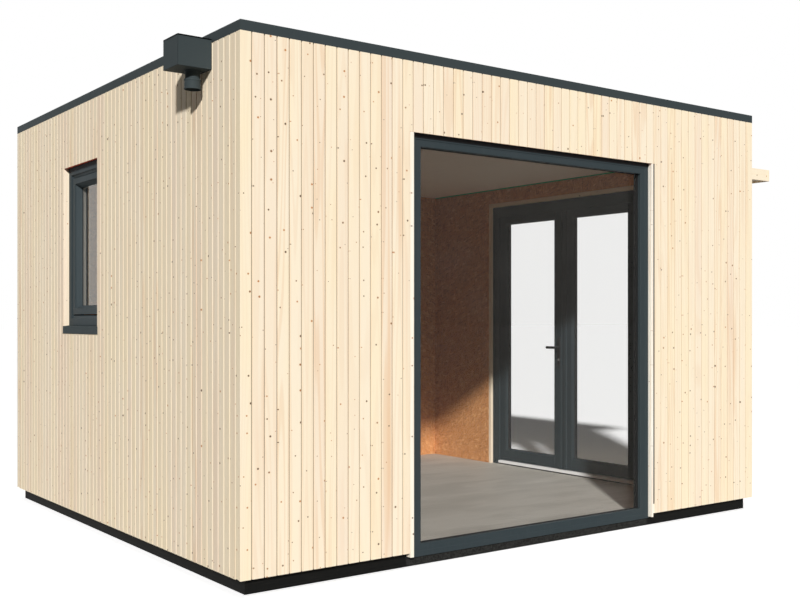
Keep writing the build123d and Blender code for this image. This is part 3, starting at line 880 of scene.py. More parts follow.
@dataclass
class Cladding:
    """Upright boards with a square shadow groove between them, on battens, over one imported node."""

    wall: Wall
    node: str
    first_groove: float
    hole: Union[Rect, None] = None
    posts: bool = False
    pitch: float = 0.0604
    groove: float = 0.008
    groove_depth: float = 0.0066
    thickness: float = 0.019
    tongue: float = 0.006
    ease: float = 0.0009
    # Painted shade on the groove sides, as a share of the groove shade colour.
    side_shade: float = 0.2
    # Height above which downward board ends get the painted red-brown soffit shade.
    soffit_shade_above: float = 1.0
    drip: float = 0.16
    batten: float = 0.045
    batten_foot: float = 0.015
    batten_head: float = 0.01
    batten_end: float = 0.002
    post_reach: Pair = (0.06, 0.062)
    hole_margin: float = 0.02
    least: float = 0.02

    def strips(self, area: Rect, left: float, right: float) -> Iterator[Rect]:
        """The parts of a board's width that the area and its hole leave."""
        left = max(left, area.left)
        right = min(right, area.right)
        edges = [left, right]
        if self.hole is not None:
            edges[1:1] = [edge for edge in (self.hole.left, self.hole.right) if left < edge < right]
        for start, end in zip(edges, edges[1:]):
            if end - start < NEAR:
                continue
            if self.hole is not None and self.hole.left < (start + end) / 2.0 < self.hole.right:
                yield Rect(start, end, area.low, self.hole.low)
                yield Rect(start, end, self.hole.high, area.high)
            else:
                yield Rect(start, end, area.low, area.high)

    def upright(self, form: Form, outline: Sequence[Pair], low: float, high: float) -> None:
        """A board from its outline along the wall and in, with a drip slope at its foot."""
        foot = [self.wall.place(along, low + self.drip * depth, depth) for along, depth in outline]
        top = [self.wall.place(along, high, depth) for along, depth in outline]
        form.skin([foot, top])

    def board(self, form: Form, strip: Rect, left: float, right: float) -> None:
        """One board, eased along its own edges only."""
        start = self.ease if abs(strip.left - left) < 1e-6 else 0.0
        end = self.ease if abs(strip.right - right) < 1e-6 else 0.0
        outline = [(strip.left + start, 0.0), (strip.right - end, 0.0)]
        if end:
            outline.append((strip.right, end))
        outline += [(strip.right, self.thickness), (strip.left, self.thickness)]
        if start:
            outline.append((strip.left, start))
        self.upright(form, outline, strip.low, strip.high)

    def post(self, form: Form, width: float, depth: float, area: Rect, far: bool) -> None:
        """A corner board with a face to each wall."""
        side = depth - self.groove
        outline = [
            (0.0, self.ease),
            (self.ease, 0.0),
            (width - self.ease, 0.0),
            (width, self.ease),
            (width, depth),
            (self.groove_depth, depth),
            (self.groove_depth, side),
            (self.ease, side),
            (0.0, side - self.ease),
        ]
        if far:
            outline = [(SHELL_WIDTH - along, inward) for along, inward in outline]
        self.upright(form, outline, area.low, area.high)

    def cornered(self, area: Rect) -> tuple[bool, bool]:
        """Whether corner boards stand at the left and the right end of an area."""
        return self.posts and area.left < NEAR, self.posts and area.right > SHELL_WIDTH - NEAR

    def build(self) -> None:
        """Lay the boards, their tongues, the corner posts and the battens."""
        area = self.wall.rect(self.node)
        depth = self.wall.depths(self.node)[1]
        at_left, at_right = self.cornered(area)
        last = SHELL_WIDTH - self.least
        tongue = (self.groove_depth, self.groove_depth + self.tongue)
        form = Form()
        for index in range(-1, int(SHELL_WIDTH / self.pitch) + 2):
            left = self.first_groove + self.pitch * index + self.groove
            right = self.first_groove + self.pitch * (index + 1)
            form.tone = tones(f"{self.node.split('_')[0]} board {index}").random()
            if self.posts and left < 0.0:
                if at_left:
                    self.post(form, right, depth, area, False)
            elif self.posts and right + self.groove > last:
                if at_right and left < last:
                    self.post(form, SHELL_WIDTH - left, depth, area, True)
                continue
            else:
                for strip in self.strips(area, left, right):
                    self.board(form, strip, left, right)
            for strip in self.strips(area, right, right + self.groove):
                outline = Rect(strip.left, strip.right, *tongue).loop()
                self.upright(form, outline, strip.low, strip.high)
        self.battens(form, area, depth)
        self.mark(form)
        form.piece(f"{self.node}_boards", Body.CABIN, Slot.CLADDING, BOARDS, [self.node])

    def mark(self, form: Form) -> None:
        """Mark groove sides and bottoms for painted shade, and downward board ends over openings for painted
        red-brown shade.
        """
        bmesh.ops.recalc_face_normals(form.mesh, faces=form.mesh.faces)
        for face in form.mesh.faces:
            middle = face.calc_center_median() - self.wall.corner
            depth = middle.dot(self.wall.inward)
            across = abs(face.normal.dot(self.wall.along))
            if face.normal.z < -0.5 and middle.z > self.soffit_shade_above:
                face[form.deep] = 2.0
            elif across < 0.5 and depth > self.ease * 1.2:
                face[form.deep] = 1.0
            elif across > 0.5 and depth < self.thickness and self.beside_groove(middle.dot(self.wall.along)):
                face[form.deep] = self.side_shade

    def beside_groove(self, along: float) -> bool:
        """Whether a place along the wall is the edge of a groove."""
        phase = (along - self.first_groove + self.pitch / 2.0) % self.pitch - self.pitch / 2.0
        return min(abs(phase), abs(phase - self.groove)) < self.ease

    def battens(self, form: Form, area: Rect, depth: float) -> None:
        """Level battens behind the boards, and closing strips round a hole."""
        at_left, at_right = self.cornered(area)
        left = area.left + (self.post_reach[0] if at_left else self.batten_end)
        right = area.right - (self.post_reach[1] if at_right else self.batten_end)
        depths = (self.thickness + HAIR, depth)
        hole = self.hole
        middle = (area.low + area.high - self.batten) / 2.0
        for low in (area.low + self.batten_foot, middle, area.high - self.batten - self.batten_head):
            high = low + self.batten
            runs = [(left, right)]
            if hole is not None and hole.low < high and low < hole.high:
                runs = [(left, hole.left - self.hole_margin), (hole.right + self.hole_margin, right)]
            for start, end in runs:
                form.block(self.wall, Rect(start, end, low, high), depths)
        if hole is not None:
            closing_sides(form, self.wall, hole, depths)
            closing_head(form, self.wall, hole, depths)


@dataclass
class OpeningLining:
    """Reveal boards at the sides of the front glazing, closing strips, and black strips that paint the shadow
    at the frame heads and the right reveal joint.
    """

    gap: float = 0.0045
    painted_shadow_gap: float = 0.0115
    gap_foot: float = 0.055
    # Height of the black head strips that paint the shadow band, and how far forward of the frame they stand.
    seal: float = 0.019
    seal_front: float = 0.003
    reveal_ease: float = 0.0012
    reveal_back: float = 0.0395
    filler_depths: Pair = (0.002, 0.0375)
    joint_front: float = 0.004
    joint_play: float = 0.0003
    strip_depth: float = 0.0195
    shadow_strip_rise: float = 0.0035

    def build(self) -> None:
        """Set the reveal boards, the strips behind the cladding edges and the seals."""
        self.reveal("glazing_reveal_left", self.gap, 0.0)
        self.reveal("glazing_reveal_right", 0.0, self.painted_shadow_gap)
        door = RIGHT.rect("door_frame")
        hole = Rect(door.left, door.right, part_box("right_cladding_front")[0].z, door.high)
        depths = (self.strip_depth, RIGHT.depths("right_cladding_front")[1])
        form = Form()
        closing_sides(form, RIGHT, hole, depths)
        form.piece("door_opening_strips", Body.CABIN, Slot.CLADDING, BOARDS)
        form = Form()
        closing_head(form, RIGHT, hole, depths)
        form.piece("door_opening_head", Body.CABIN, Slot.CLADDING, CANOPY_LONG)
        header = FRONT.rect("front_cladding_header")
        depths = (self.strip_depth, FRONT.depths("front_cladding_header")[1])
        form = Form()
        closing_head(form, FRONT, Rect(header.left, header.right, 0.0, header.low), depths)
        form.piece("glazing_opening_head", Body.CABIN, Slot.CLADDING, CANOPY_SHORT)
        self.head_shadow_strips()

    def reveal(self, node: str, left_gap: float, right_gap: float) -> None:
        """One reveal board and, in the wide right gap, a black strip that paints the joint's shadow, with a
        filler at its foot.
        """
        area = FRONT.rect(node)
        start, end = FRONT.depths(node)
        side = Rect(area.left + left_gap, area.right - right_gap, area.low, area.high)
        high = Rect(side.left, side.right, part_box("front_cladding_left")[0].z, area.high)
        foot = high.low + self.gap_foot
        form = Form()
        form.tone = tones(node).random()
        form.block(FRONT, side, (start + HAIR, self.reveal_back), self.reveal_ease)
        form.block(FRONT, high, (self.reveal_back, end), HAIR)
        if right_gap:
            filler = Rect(side.right, area.right - HAIR, high.low, foot)
            form.block(FRONT, filler, self.filler_depths, HAIR)
        form.piece(f"{node}_board", Body.CABIN, Slot.CLADDING, REVEAL_PAINTED_BRIGHT, [node])
        if right_gap:
            # A near-black strip in the right joint paints the shadow of the gap.
            form = Form()
            joint = Rect(side.right + self.joint_play, area.right - HAIR, foot, area.high)
            form.block(FRONT, joint, (self.joint_front, self.filler_depths[1]), HAIR)
            form.piece("glazing_reveal_seal", Body.CABIN, Slot.FRAME, BLACK_SHADOW_STRIP)

    def head_shadow_strips(self) -> None:
        """A black strip between each frame head and the boards over it, painting the shadow band there."""
        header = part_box("front_cladding_header")[0].z
        for wall, node, rail in (
            (FRONT, "glazing_glass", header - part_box("glazing_glass")[1].z),
            (LEFT, "window_sash", WINDOW_RAIL),
        ):
            name = node.split("_")[0]
            head = wall.rect(node).grown(rail)
            face = wall.depths(f"{name}_frame")[0]
            low, high = head.high - self.seal, head.high + self.shadow_strip_rise
            strip = Rect(head.left + HAIR, head.right - HAIR, low, high)
            form = Form()
            form.block(wall, strip, (face - self.seal_front, face - SLIVER), ROUND)
            form.piece(f"{name}_head_seal", Body.CABIN, Slot.FRAME, BLACK_SHADOW_STRIP)


@dataclass
class Pane:
    """A sealed glazing unit with its spacer and gaskets."""

    wall: Wall
    node: str
    body: Body
    spacer: Finish = GASKET
    edge: float = 0.007
    sheet: float = 0.004
    gasket: float = 0.002
    lip: float = 0.0001

    def build(self) -> None:
        """Make the unit, the spacer and the gaskets."""
        sight = self.wall.rect(self.node)
        start, end = self.wall.depths(self.node)
        form = Form()
        form.block(self.wall, sight.grown(self.edge), (start, end), 0.0004)
        form.piece(f"{self.node}_unit", self.body, Slot.GLASS, CLEAR_GLASS, [self.node])
        form = Form()
        spacer = Rect(-self.edge, -SLIVER, start + self.sheet, end - self.sheet)
        form.sweep(sight.loop(), spacer.loop(), self.wall.place)
        form.piece(f"{self.node}_spacer", self.body, Slot.GLASS, self.spacer)
        form = Form()
        for face, way in ((start, -1.0), (end, 1.0)):
            near = face + way * SLIVER
            gasket = [
                (-self.edge, near),
                (self.lip, near),
                (self.lip, face + way * self.gasket * 0.4),
                (-0.001, face + way * self.gasket),
                (-self.edge, face + way * self.gasket),
            ]
            form.sweep(sight.loop(), gasket, self.wall.place)
        form.piece(f"{self.node}_gaskets", self.body, Slot.FRAME, GASKET)


def frame_profile(rail: float, face: float, glass: Pair, back: float, bead: Sequence[Pair]) -> list[Pair]:
    """A frame profile with a rebate for the glass and a sloped bead inside.

    Args:
        rail: width from the outer edge to the sight line
        face: depth of the front face
        glass: depths of the glass
        back: depth of the rear face
        bead: points of the front face between its outer edge and the glass

    Returns:
        Distances from the outer edge, and depths.
    """
    front, rear = glass[0] - SEAT, glass[1] + SEAT
    rebate = 0.009
    return [
        (0.0, face + EASE),
        (EASE, face),
        *bead,
        (rail, front),
        (rail - rebate, front),
        (rail - rebate, rear),
        (rail, rear),
        (rail - 0.001, rear + ROUND),
        (rail - rebate, back - 0.001),
        (rail - 0.012, back),
        (EASE, back),
        (0.0, back - EASE),
    ]


@dataclass
class Glazing:
    """The fixed full-height glazing in the front wall."""

    rim: float = 0.026
    step: float = 0.003

    def build(self) -> None:
        """Make the frame and its pane."""
        sight = FRONT.rect("glazing_glass")
        glass = FRONT.depths("glazing_glass")
        face, back = FRONT.depths("glazing_frame")
        outside = sight.grown(GLAZING_RAIL)
        low = face + self.step
        bead = [
            (self.rim, face),
            (self.rim + self.step, low),
            (GLAZING_RAIL - ROUND, low),
            (GLAZING_RAIL, low + ROUND),
        ]
        form = Form()
        form.sweep(outside.loop(), frame_profile(GLAZING_RAIL, face, glass, back, bead), FRONT.place)
        lap = Rect(-FRAME_LAP, -HAIR, FRONT.depths("front_cladding_left")[1], back - ROUND)
        form.sweep(outside.arch(), lap.loop(), FRONT.place, False)
        form.piece("glazing_frame_rails", Body.CABIN, Slot.FRAME, PAINTED_FRAME, ["glazing_frame"])
        Pane(FRONT, "glazing_glass", Body.CABIN).build()


@dataclass
class SideWindow:
    """The window in the left wall: frame, sash, pane and sloped sill."""

    sash_rail: float = 0.056
    sill_sheet: float = 0.002
    lug: float = 0.01
    play: float = 0.0015

    def build(self) -> None:
        """Make the frame, sash, pane and sill."""
        sash = LEFT.rect("window_sash")
        sash_face, sash_back = LEFT.depths("window_sash")
        face, back = LEFT.depths("window_frame")
        lap = LEFT.depths("left_cladding")[1]
        outside = sash.grown(WINDOW_RAIL)
        form = Form()
        rail = WINDOW_RAIL - self.play
        profile = [
            (0.0, face + EASE),
            (EASE, face),
            (rail - 0.02, face),
            (rail - 0.0185, face + EASE),
            (rail - 0.0185, face + 0.007),
            (rail - 0.006, face + 0.012),
            (rail, face + 0.016),
            (rail, back - 0.003),
            (rail - 0.003, back),
            (-FRAME_LAP, back),
            (-FRAME_LAP, lap),
            (0.0, lap),
        ]
        form.sweep(outside.loop(), profile, LEFT.place)
        form.piece("window_frame_rails", Body.CABIN, Slot.FRAME, PAINTED_FRAME, ["window_frame"])
        form = Form()
        glass = LEFT.depths("window_glass")
        rail = self.sash_rail - self.play
        bead = [
            (rail - 0.0205, sash_face),
            (rail - 0.019, sash_face + EASE),
            (rail - 0.019, sash_face + 0.006),
            (rail - 0.016, sash_face + 0.006),
            (rail - 0.001, glass[0] - 0.006),
        ]
        sash_profile = frame_profile(rail, sash_face, glass, sash_back, bead)
        form.sweep(sash.grown(-self.play).loop(), sash_profile, LEFT.place)
        form.piece("window_sash_rails", Body.CABIN, Slot.FRAME, PAINTED_FRAME, ["window_sash"])
        Pane(LEFT, "window_glass", Body.CABIN, SPACER).build()
        self.sill()

    def sill(self) -> None:
        """A folded metal sill with a front apron and turned-up ends."""
        area = LEFT.rect("window_sill")
        nose, back = LEFT.depths("window_sill")
        recess = LEFT.depths("window_frame")[0]
        fold = [
            (nose + self.sill_sheet * 0.5, area.low + 0.001),
            (nose + self.sill_sheet, area.low + 0.0003),
            (nose + self.sill_sheet * 2.0, area.low + 0.001),
            (nose + self.sill_sheet * 2.0, area.high - 0.010),
            (recess, area.high - 0.004),
            (back, area.high - 0.004),
            (back, area.high),
            (recess, area.high),
            (nose + 0.002, area.high - 0.0043),
            (nose + self.sill_sheet * 0.5, area.high - 0.0055),
        ]
        form = Form()
        ends = (area.left + self.lug, area.right - self.lug)
        form.skin([[LEFT.place(along, up, depth) for depth, up in fold] for along in ends])
        apron = Rect(area.left, area.right, area.low, area.high - 0.0045)
        form.block(LEFT, apron, (nose, nose + self.sill_sheet * 1.6), 0.0008)
        form.block(LEFT, Rect(ends[0], ends[1], area.low + 0.0005, area.high - 0.012), (0.006, back), 0.001)
        form.piece("window_sill_sheet", Body.CABIN, Slot.SHEET, METAL_SHEET, ["window_sill"])


@dataclass
class DoorSurround:
    """The lining, frame, threshold and fixed hinge parts of the French doors."""

    jamb: float = 0.07
    stop: float = 0.015
    stop_thickness: float = 0.01
    lining: float = 0.03
    toe: float = 0.009
    knuckle: float = 0.038
    hinge_end: float = 0.028
    hinge_gap: float = 0.001
    hinge_margin: float = 0.22
    hinge_radius: float = 0.008
    hinge_pin: float = 0.005
    hinge_tab: float = 0.035
    hinge_ease: float = 0.0008

    def build(self) -> None:
        """Make all fixed parts."""
        self.lining_boards()
        self.frame_rails()
        self.threshold()
        self.hinges()

    def lining_boards(self) -> None:
        """Pine boards round the frame, from the cladding to the room."""
        door = RIGHT.rect("door_frame")
        low = RIGHT.rect("door_lining").low
        start, end = RIGHT.depths("door_lining")
        depths = (start + HAIR, end)
        form = Form()
        for left, right in ((door.left - self.lining, door.left), (door.right, door.right + self.lining)):
            form.tone = tones(f"lining {left:.3f}").random()
            form.block(RIGHT, Rect(left, right, low, door.high + self.lining), depths, 0.002)
        form.piece("door_lining_sides", Body.CABIN, Slot.LINING, PINE, ["door_lining"])
        form = Form()
        form.block(RIGHT, Rect(door.left, door.right, door.high, door.high + self.lining), depths, 0.002)
        form.piece("door_lining_head", Body.CABIN, Slot.LINING, PINE_HEAD)

    def frame_rails(self) -> None:
        """The door frame with its stops and weather seal."""
        door = RIGHT.rect("door_frame")
        face, back = RIGHT.depths("door_frame")
        stop_face = back - self.stop_thickness
        inner = self.jamb + self.stop
        profile = [
            (0.0, face + EASE),
            (EASE, face),
            (self.jamb - ROUND, face),
            (self.jamb, face + ROUND),
            (self.jamb, stop_face),
            (inner - ROUND, stop_face),
            (inner, stop_face + ROUND),
            (inner, back - 0.003),
            (inner - 0.003, back),
            (EASE, back),
            (0.0, back - EASE),
        ]
        foot = [(0.0, face + EASE), (EASE, face), (self.jamb, face), (self.jamb, back), (0.0, back)]
        above = RIGHT.rect("door_threshold").high
        arch = Rect(door.left, door.right, above, door.high).arch()
        legs = Rect(door.left, door.right, door.low, above).arch()
        form = Form()
        form.sweep(arch, profile, RIGHT.place, False)
        for run in (legs[:2], legs[2:]):
            form.sweep(run, foot, RIGHT.place, False)
        form.piece("door_frame_rails", Body.CABIN, Slot.FRAME, PAINTED_FRAME, ["door_frame"])
        form = Form()
        seal = [
            (self.jamb + 0.002, stop_face),
            (self.jamb + 0.004, stop_face - 0.003),
            (self.jamb + 0.009, stop_face - 0.0035),
            (self.jamb + 0.011, stop_face),
        ]
        form.sweep(arch, seal, RIGHT.place, False)
        form.piece("door_frame_seal", Body.CABIN, Slot.FRAME, GASKET)

    def threshold(self) -> None:
        """A ribbed aluminium threshold with a sloped outer nose."""
        area = RIGHT.rect("door_threshold")
        start, end = RIGHT.depths("door_threshold")
        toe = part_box("floor")[1].z + self.toe
        outline = [(start, area.low), (start, area.low + 0.014), (start + 0.016, area.high - 0.006)]
        ribs = 6
        run = end - start - 0.03
        for rib in range(ribs):
            depth = start + 0.02 + run * rib / ribs
            width = run / ribs
            outline += [
                (depth, area.high - 0.002),
                (depth + width * 0.15, area.high),
                (depth + width * 0.6, area.high),
                (depth + width * 0.75, area.high - 0.002),
            ]
        outline += [(end - 0.006, area.high), (end - 0.001, area.high - 0.001), (end, area.high - 0.003)]
        outline += [(end, toe), (end - 0.004, toe), (end - 0.004, area.low)]
        form = Form()
        ends = (area.left, area.right)
        form.skin([[RIGHT.place(along, up, depth) for depth, up in outline] for along in ends])
        form.piece("door_threshold_bar", Body.CABIN, Slot.THRESHOLD, PALE_ALUMINIUM, ["door_threshold"])
        form = Form()
        gap = Rect(area.left, area.right, area.low, toe - HAIR)
        form.block(RIGHT, gap, (end - 0.0038, end - 0.0015), HAIR)
        form.piece("door_threshold_seal", Body.CABIN, Slot.THRESHOLD, GASKET)

    def hinge_spots(self) -> Iterator[tuple[float, Vector]]:
        """Each hinge's side, -1 for the front leaf and 1 for the rear one, and its middle."""
        low, high = (corner.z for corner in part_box("door_leaf_front"))
        for side, body in ((-1.0, Body.DOOR_FRONT), (1.0, Body.DOOR_REAR)):
            east, north, _ = joint_spot(body)
            for height in (low + self.hinge_margin, (low + high) / 2.0, high - self.hinge_margin):
                yield side, Vector((east, north, height))

    def barrel(self, form: Form, centre: Vector, low: float, high: float, capped: int = 0) -> None:
        """A turned hinge barrel with eased rims.

        Args:
            form: the mesh to add to
            centre: a point on the hinge's axis
            low: lower end
            high: upper end
            capped: 1 for a domed cap on top, -1 for one below and 0 for none
        """
        radius = self.hinge_radius
        rim = radius - self.hinge_ease
        dome = [(0.002, 0.0), (radius - 0.003, 0.0006), (rim, 0.002)]
        foot = [(rim, low), (radius, low + self.hinge_ease)]
        top = [(radius, high - self.hinge_ease), (rim, high)]
        if capped < 0:
            foot = [(across, low + rise) for across, rise in dome]
        elif capped > 0:
            top = [(across, high - rise) for across, rise in reversed(dome)]
        form.turn(foot + top, Vector((centre.x, centre.y, 0.0)), UP)

    def tab(self, form: Form, centre: Vector, low: float, high: float, side: float) -> None:
        """A hinge plate with two screws, on the given side of the axis."""
        face = SHELL_HIGH.x - RIGHT.depths("door_frame")[0]
        ends = sorted((centre.y, centre.y + side * self.hinge_tab))
        start = Vector((face + SLIVER, ends[0], low))
        form.bar(start, Vector((face + 0.004, ends[1], high)), self.hinge_ease)
        for share in (0.3, 0.7):
            spot = Vector((face + 0.004, centre.y + side * self.hinge_tab * 0.68, low + (high - low) * share))
            form.turn([(0.0035, 0.0), (0.0032, 0.0007), (0.0016, 0.0011)], spot, Vector((1, 0, 0)), False, 12)

    def hinges(self) -> None:
        """The barrels and plates that stay on the frame."""
        form = Form()
        reach = self.knuckle / 2.0 + self.hinge_gap
        for side, middle in self.hinge_spots():
            lower = (middle.z - reach - self.hinge_end, middle.z - reach)
            upper = (middle.z + reach, middle.z + reach + self.hinge_end)
            self.barrel(form, middle, *lower, -1)
            self.barrel(form, middle, *upper, 1)
            pin = [(self.hinge_pin, lower[1] - ROUND), (self.hinge_pin, upper[0] + ROUND)]
            form.turn(pin, Vector((middle.x, middle.y, 0.0)), UP)
            for low, high in (lower, upper):
                self.tab(form, middle, low, high, side)
        form.piece("door_hinge_ends", Body.CABIN, Slot.HINGE, PAINTED_FRAME, ["door_hinges"], 35.0)


@dataclass
class DoorLeaf:
    """One glazed door leaf with its beads, pane and hinge knuckles."""

    side: float
    body: Body
    surround: DoorSurround
    thickness: float = 0.055
    bead: float = 0.012
    strip_width: float = 0.04
    strip_thickness: float = 0.012
    strip_inset: float = 0.002
    plate: float = 0.005
    plate_width: float = 0.028
    ease: float = 0.002

    def name(self) -> str:
        """Front or rear."""
        return "front" if self.side < 0 else "rear"

    def build(self) -> None:
        """Make the stiles, rails, beads, pane, knuckles and, on the rear leaf, the lock side."""
        node = f"door_leaf_{self.name()}"
        sight = RIGHT.rect(f"door_glass_{self.name()}")
        face = RIGHT.depths("door_frame")[0]
        back = face + self.thickness
        area = self.outline()
        hole = sight.grown(self.bead)
        form = Form()
        for rect in (
            Rect(area.left, hole.left, area.low, area.high),
            Rect(hole.right, area.right, area.low, area.high),
            Rect(hole.left, hole.right, area.low, hole.low),
            Rect(hole.left, hole.right, hole.high, area.high),
        ):
            form.block(RIGHT, rect, (face, back), self.ease)
        glass = RIGHT.depths(f"door_glass_{self.name()}")
        rebate = self.bead - 0.009
        for pane, skin, way in zip(glass, (face, back), (-1.0, 1.0)):
            bead = [
                (0.0, skin - way * 0.003),
                (0.003, skin - way * 0.003),
                (self.bead, pane + way * 0.006),
                (self.bead, pane + way * SEAT),
                (rebate, pane + way * SEAT),
                (rebate, pane),
                (0.0, pane),
            ]
            form.sweep(hole.loop(), bead, RIGHT.place)
        near = area.left + self.strip_inset
        if self.side < 0:
            near = area.right - self.strip_inset - self.strip_width
        strip = Rect(near, near + self.strip_width, area.low, area.high - self.surround.stop)
        form.block(RIGHT, strip, (back - 0.001, back + self.strip_thickness), 0.003)
        form.piece(f"{node}_rails", self.body, Slot.FRAME, PAINTED_FRAME, [node])
        Pane(RIGHT, f"door_glass_{self.name()}", self.body).build()
        self.knuckles()
        if self.side > 0:
            self.lock(face, back + self.strip_thickness)

    def outline(self) -> Rect:
        """The leaf without its hinge knuckles."""
        whole = RIGHT.rect(f"door_leaf_{self.name()}")
        clear = RIGHT.rect("door_threshold")
        gap = 0.005
        if self.side < 0:
            return Rect(clear.left + gap, whole.right, whole.low, whole.high)
        return Rect(whole.left, clear.right - gap, whole.low, whole.high)

    def knuckles(self) -> None:
        """The hinge knuckles and plates that turn with the leaf."""
        form = Form()
        half = self.surround.knuckle / 2.0
        radius = self.surround.hinge_radius
        ease = self.surround.hinge_ease
        bore = self.surround.hinge_pin + 0.0001
        for side, middle in self.surround.hinge_spots():
            if side != self.side:
                continue
            low, high = middle.z - half, middle.z + half
            profile = [
                (bore, low),
                (radius - ease, low),
                (radius, low + ease),
                (radius, high - ease),
                (radius - ease, high),
                (bore, high),
            ]
            form.turn(profile, Vector((middle.x, middle.y, 0.0)), UP, True)
            self.surround.tab(form, middle, low, high, -side)
        form.piece(f"door_knuckles_{self.name()}", self.body, Slot.HINGE, PAINTED_FRAME, (), 35.0)

    def lock(self, face: float, inside: float) -> None:
        """Long plates with a lock cylinder and screws, inside and outside."""
        _, north, height = joint_spot(Body.LEVER)
        along = north - RIGHT.corner.y
        low, high = height - 0.15, height + 0.08
        half = self.plate_width / 2.0
        outline = []
        for level, turn in ((high - half, 0.0), (low + half, math.pi)):
            for step in range(13):
                angle = turn + math.pi * step / 12
                outline.append((half * math.cos(angle), level - height + half * math.sin(angle)))
        collar = [(0.0125, 0.0), (0.0125, 0.003), (0.0115, 0.004), (0.0102, 0.004), (0.0102, 0.0)]
        cylinder = [(0.0085, -0.001), (0.0085, 0.0025), (0.0078, 0.0032)]
        screw = [(0.0042, -0.0005), (0.004, 0.0006), (0.0022, 0.0012)]
        keyway = Rect(along - 0.0009, along + 0.0009, height - 0.097, height - 0.087)
        plates = Form()
        metal = Form()
        slots = Form()
        for start, way in ((face, -1.0), (inside, 1.0)):
            out = RIGHT.inward * way
            top = start + way * self.plate
            rings = []
            for depth, scale in ((0.0, 1.0), (self.plate - EASE, 1.0), (self.plate, 0.93)):
                tall = 0.5 + scale / 2.0
                reach = start + way * depth
                ring = []
                for aside, rise in outline:
                    ring.append(RIGHT.place(along + aside * scale, height + rise * tall, reach))
                rings.append(ring)
            plates.skin(rings)
            plates.turn(collar, RIGHT.place(along, height, top), out, True)
            metal.turn(cylinder, RIGHT.place(along, height - 0.092, top), out)
            for level in (high - 0.012, low + 0.012):
                metal.turn(screw, RIGHT.place(along, level, top), out, False, 16)
            depths = sorted((top + way * 0.0028, top + way * 0.0034))
            slots.block(RIGHT, keyway, (depths[0], depths[1]), 0.0001)
        plates.piece("door_lock_plates", self.body, Slot.LEVER, BLACK_COAT, (), 40.0)
        metal.piece("door_lock_cylinder", self.body, Slot.HINGE, SCREW_STEEL, (), 40.0)
        slots.piece("door_lock_keyways", self.body, Slot.LEVER, GASKET)


@dataclass
class Lever:
    """The lever handle: one spindle with a rounded lever on each side of the rear leaf."""

    length: float = 0.092
    height: float = 0.02
    thickness: float = 0.014
    neck: float = 0.031
    neck_radius: float = 0.009
    spindle: float = 0.005
    bend: float = 0.014

    def build(self) -> None:
        """Make the spindle and both levers."""
        start, end = RIGHT.depths("door_lever")
        _, north, up = joint_spot(Body.LEVER)
        along = north - RIGHT.corner.y
        bases = (start + self.thickness + self.neck, end - self.thickness - self.neck)
        form = Form()
        for base, way in zip(bases, (-1.0, 1.0)):
            self.handle(form, along, up, base, way)
        pin = [(self.spindle, bases[0] - NEAR), (self.spindle, bases[1] + NEAR)]
        form.turn(pin, RIGHT.place(along, up, 0.0), RIGHT.inward)
        form.piece("door_lever_handle", Body.LEVER, Slot.LEVER, BLACK_COAT, ["door_lever"], 45.0)

    def handle(self, form: Form, along: float, up: float, base: float, way: float) -> None:
        """A neck that bends into a flat rounded grip.

        Args:
            form: the mesh to add to
            along: the spindle's place along the wall
            up: the spindle's height
            base: depth at which the neck starts
            way: -1 outwards and 1 into the room
        """
        radius = self.bend
        middle = self.neck + self.thickness / 2.0
        path = [(0.0, 0.0), (0.0, middle - radius)]
        for step in range(1, 9):
            angle = math.pi / 2.0 * step / 8
            path.append((radius - radius * math.cos(angle), middle - radius + radius * math.sin(angle)))
        path += [(self.length * share, middle) for share in (0.3, 0.6, 0.9)]
        path += [(self.length + 0.006, middle), (self.length + 0.0095, middle)]
        rings = []
        for index, (aside, out) in enumerate(path):
            last = path[min(index + 1, len(path) - 1)]
            before = path[max(index - 1, 0)]
            run = Vector((last[0] - before[0], last[1] - before[1])).normalized()
            normal = Vector((-run.y, run.x))
            grip = min(1.0, max(0.0, (index - 1) / 9.0))
            half_height = self.neck_radius + (self.height / 2.0 - self.neck_radius) * grip
            half_depth = self.neck_radius + (self.thickness / 2.0 - self.neck_radius) * grip
            if index == len(path) - 1:
                half_height *= 0.7
                half_depth *= 0.6
            ring = []
            for step in range(20):
                angle = 2.0 * math.pi * step / 20
                wide = math.copysign(abs(math.cos(angle)) ** 0.7, math.cos(angle)) * half_depth
                tall = math.copysign(abs(math.sin(angle)) ** 0.7, math.sin(angle)) * half_height
                spot = Vector((aside, out)) + normal * wide
                ring.append(RIGHT.place(along + spot.x, up + tall, base + way * spot.y))
            rings.append(ring)
        form.skin(rings)


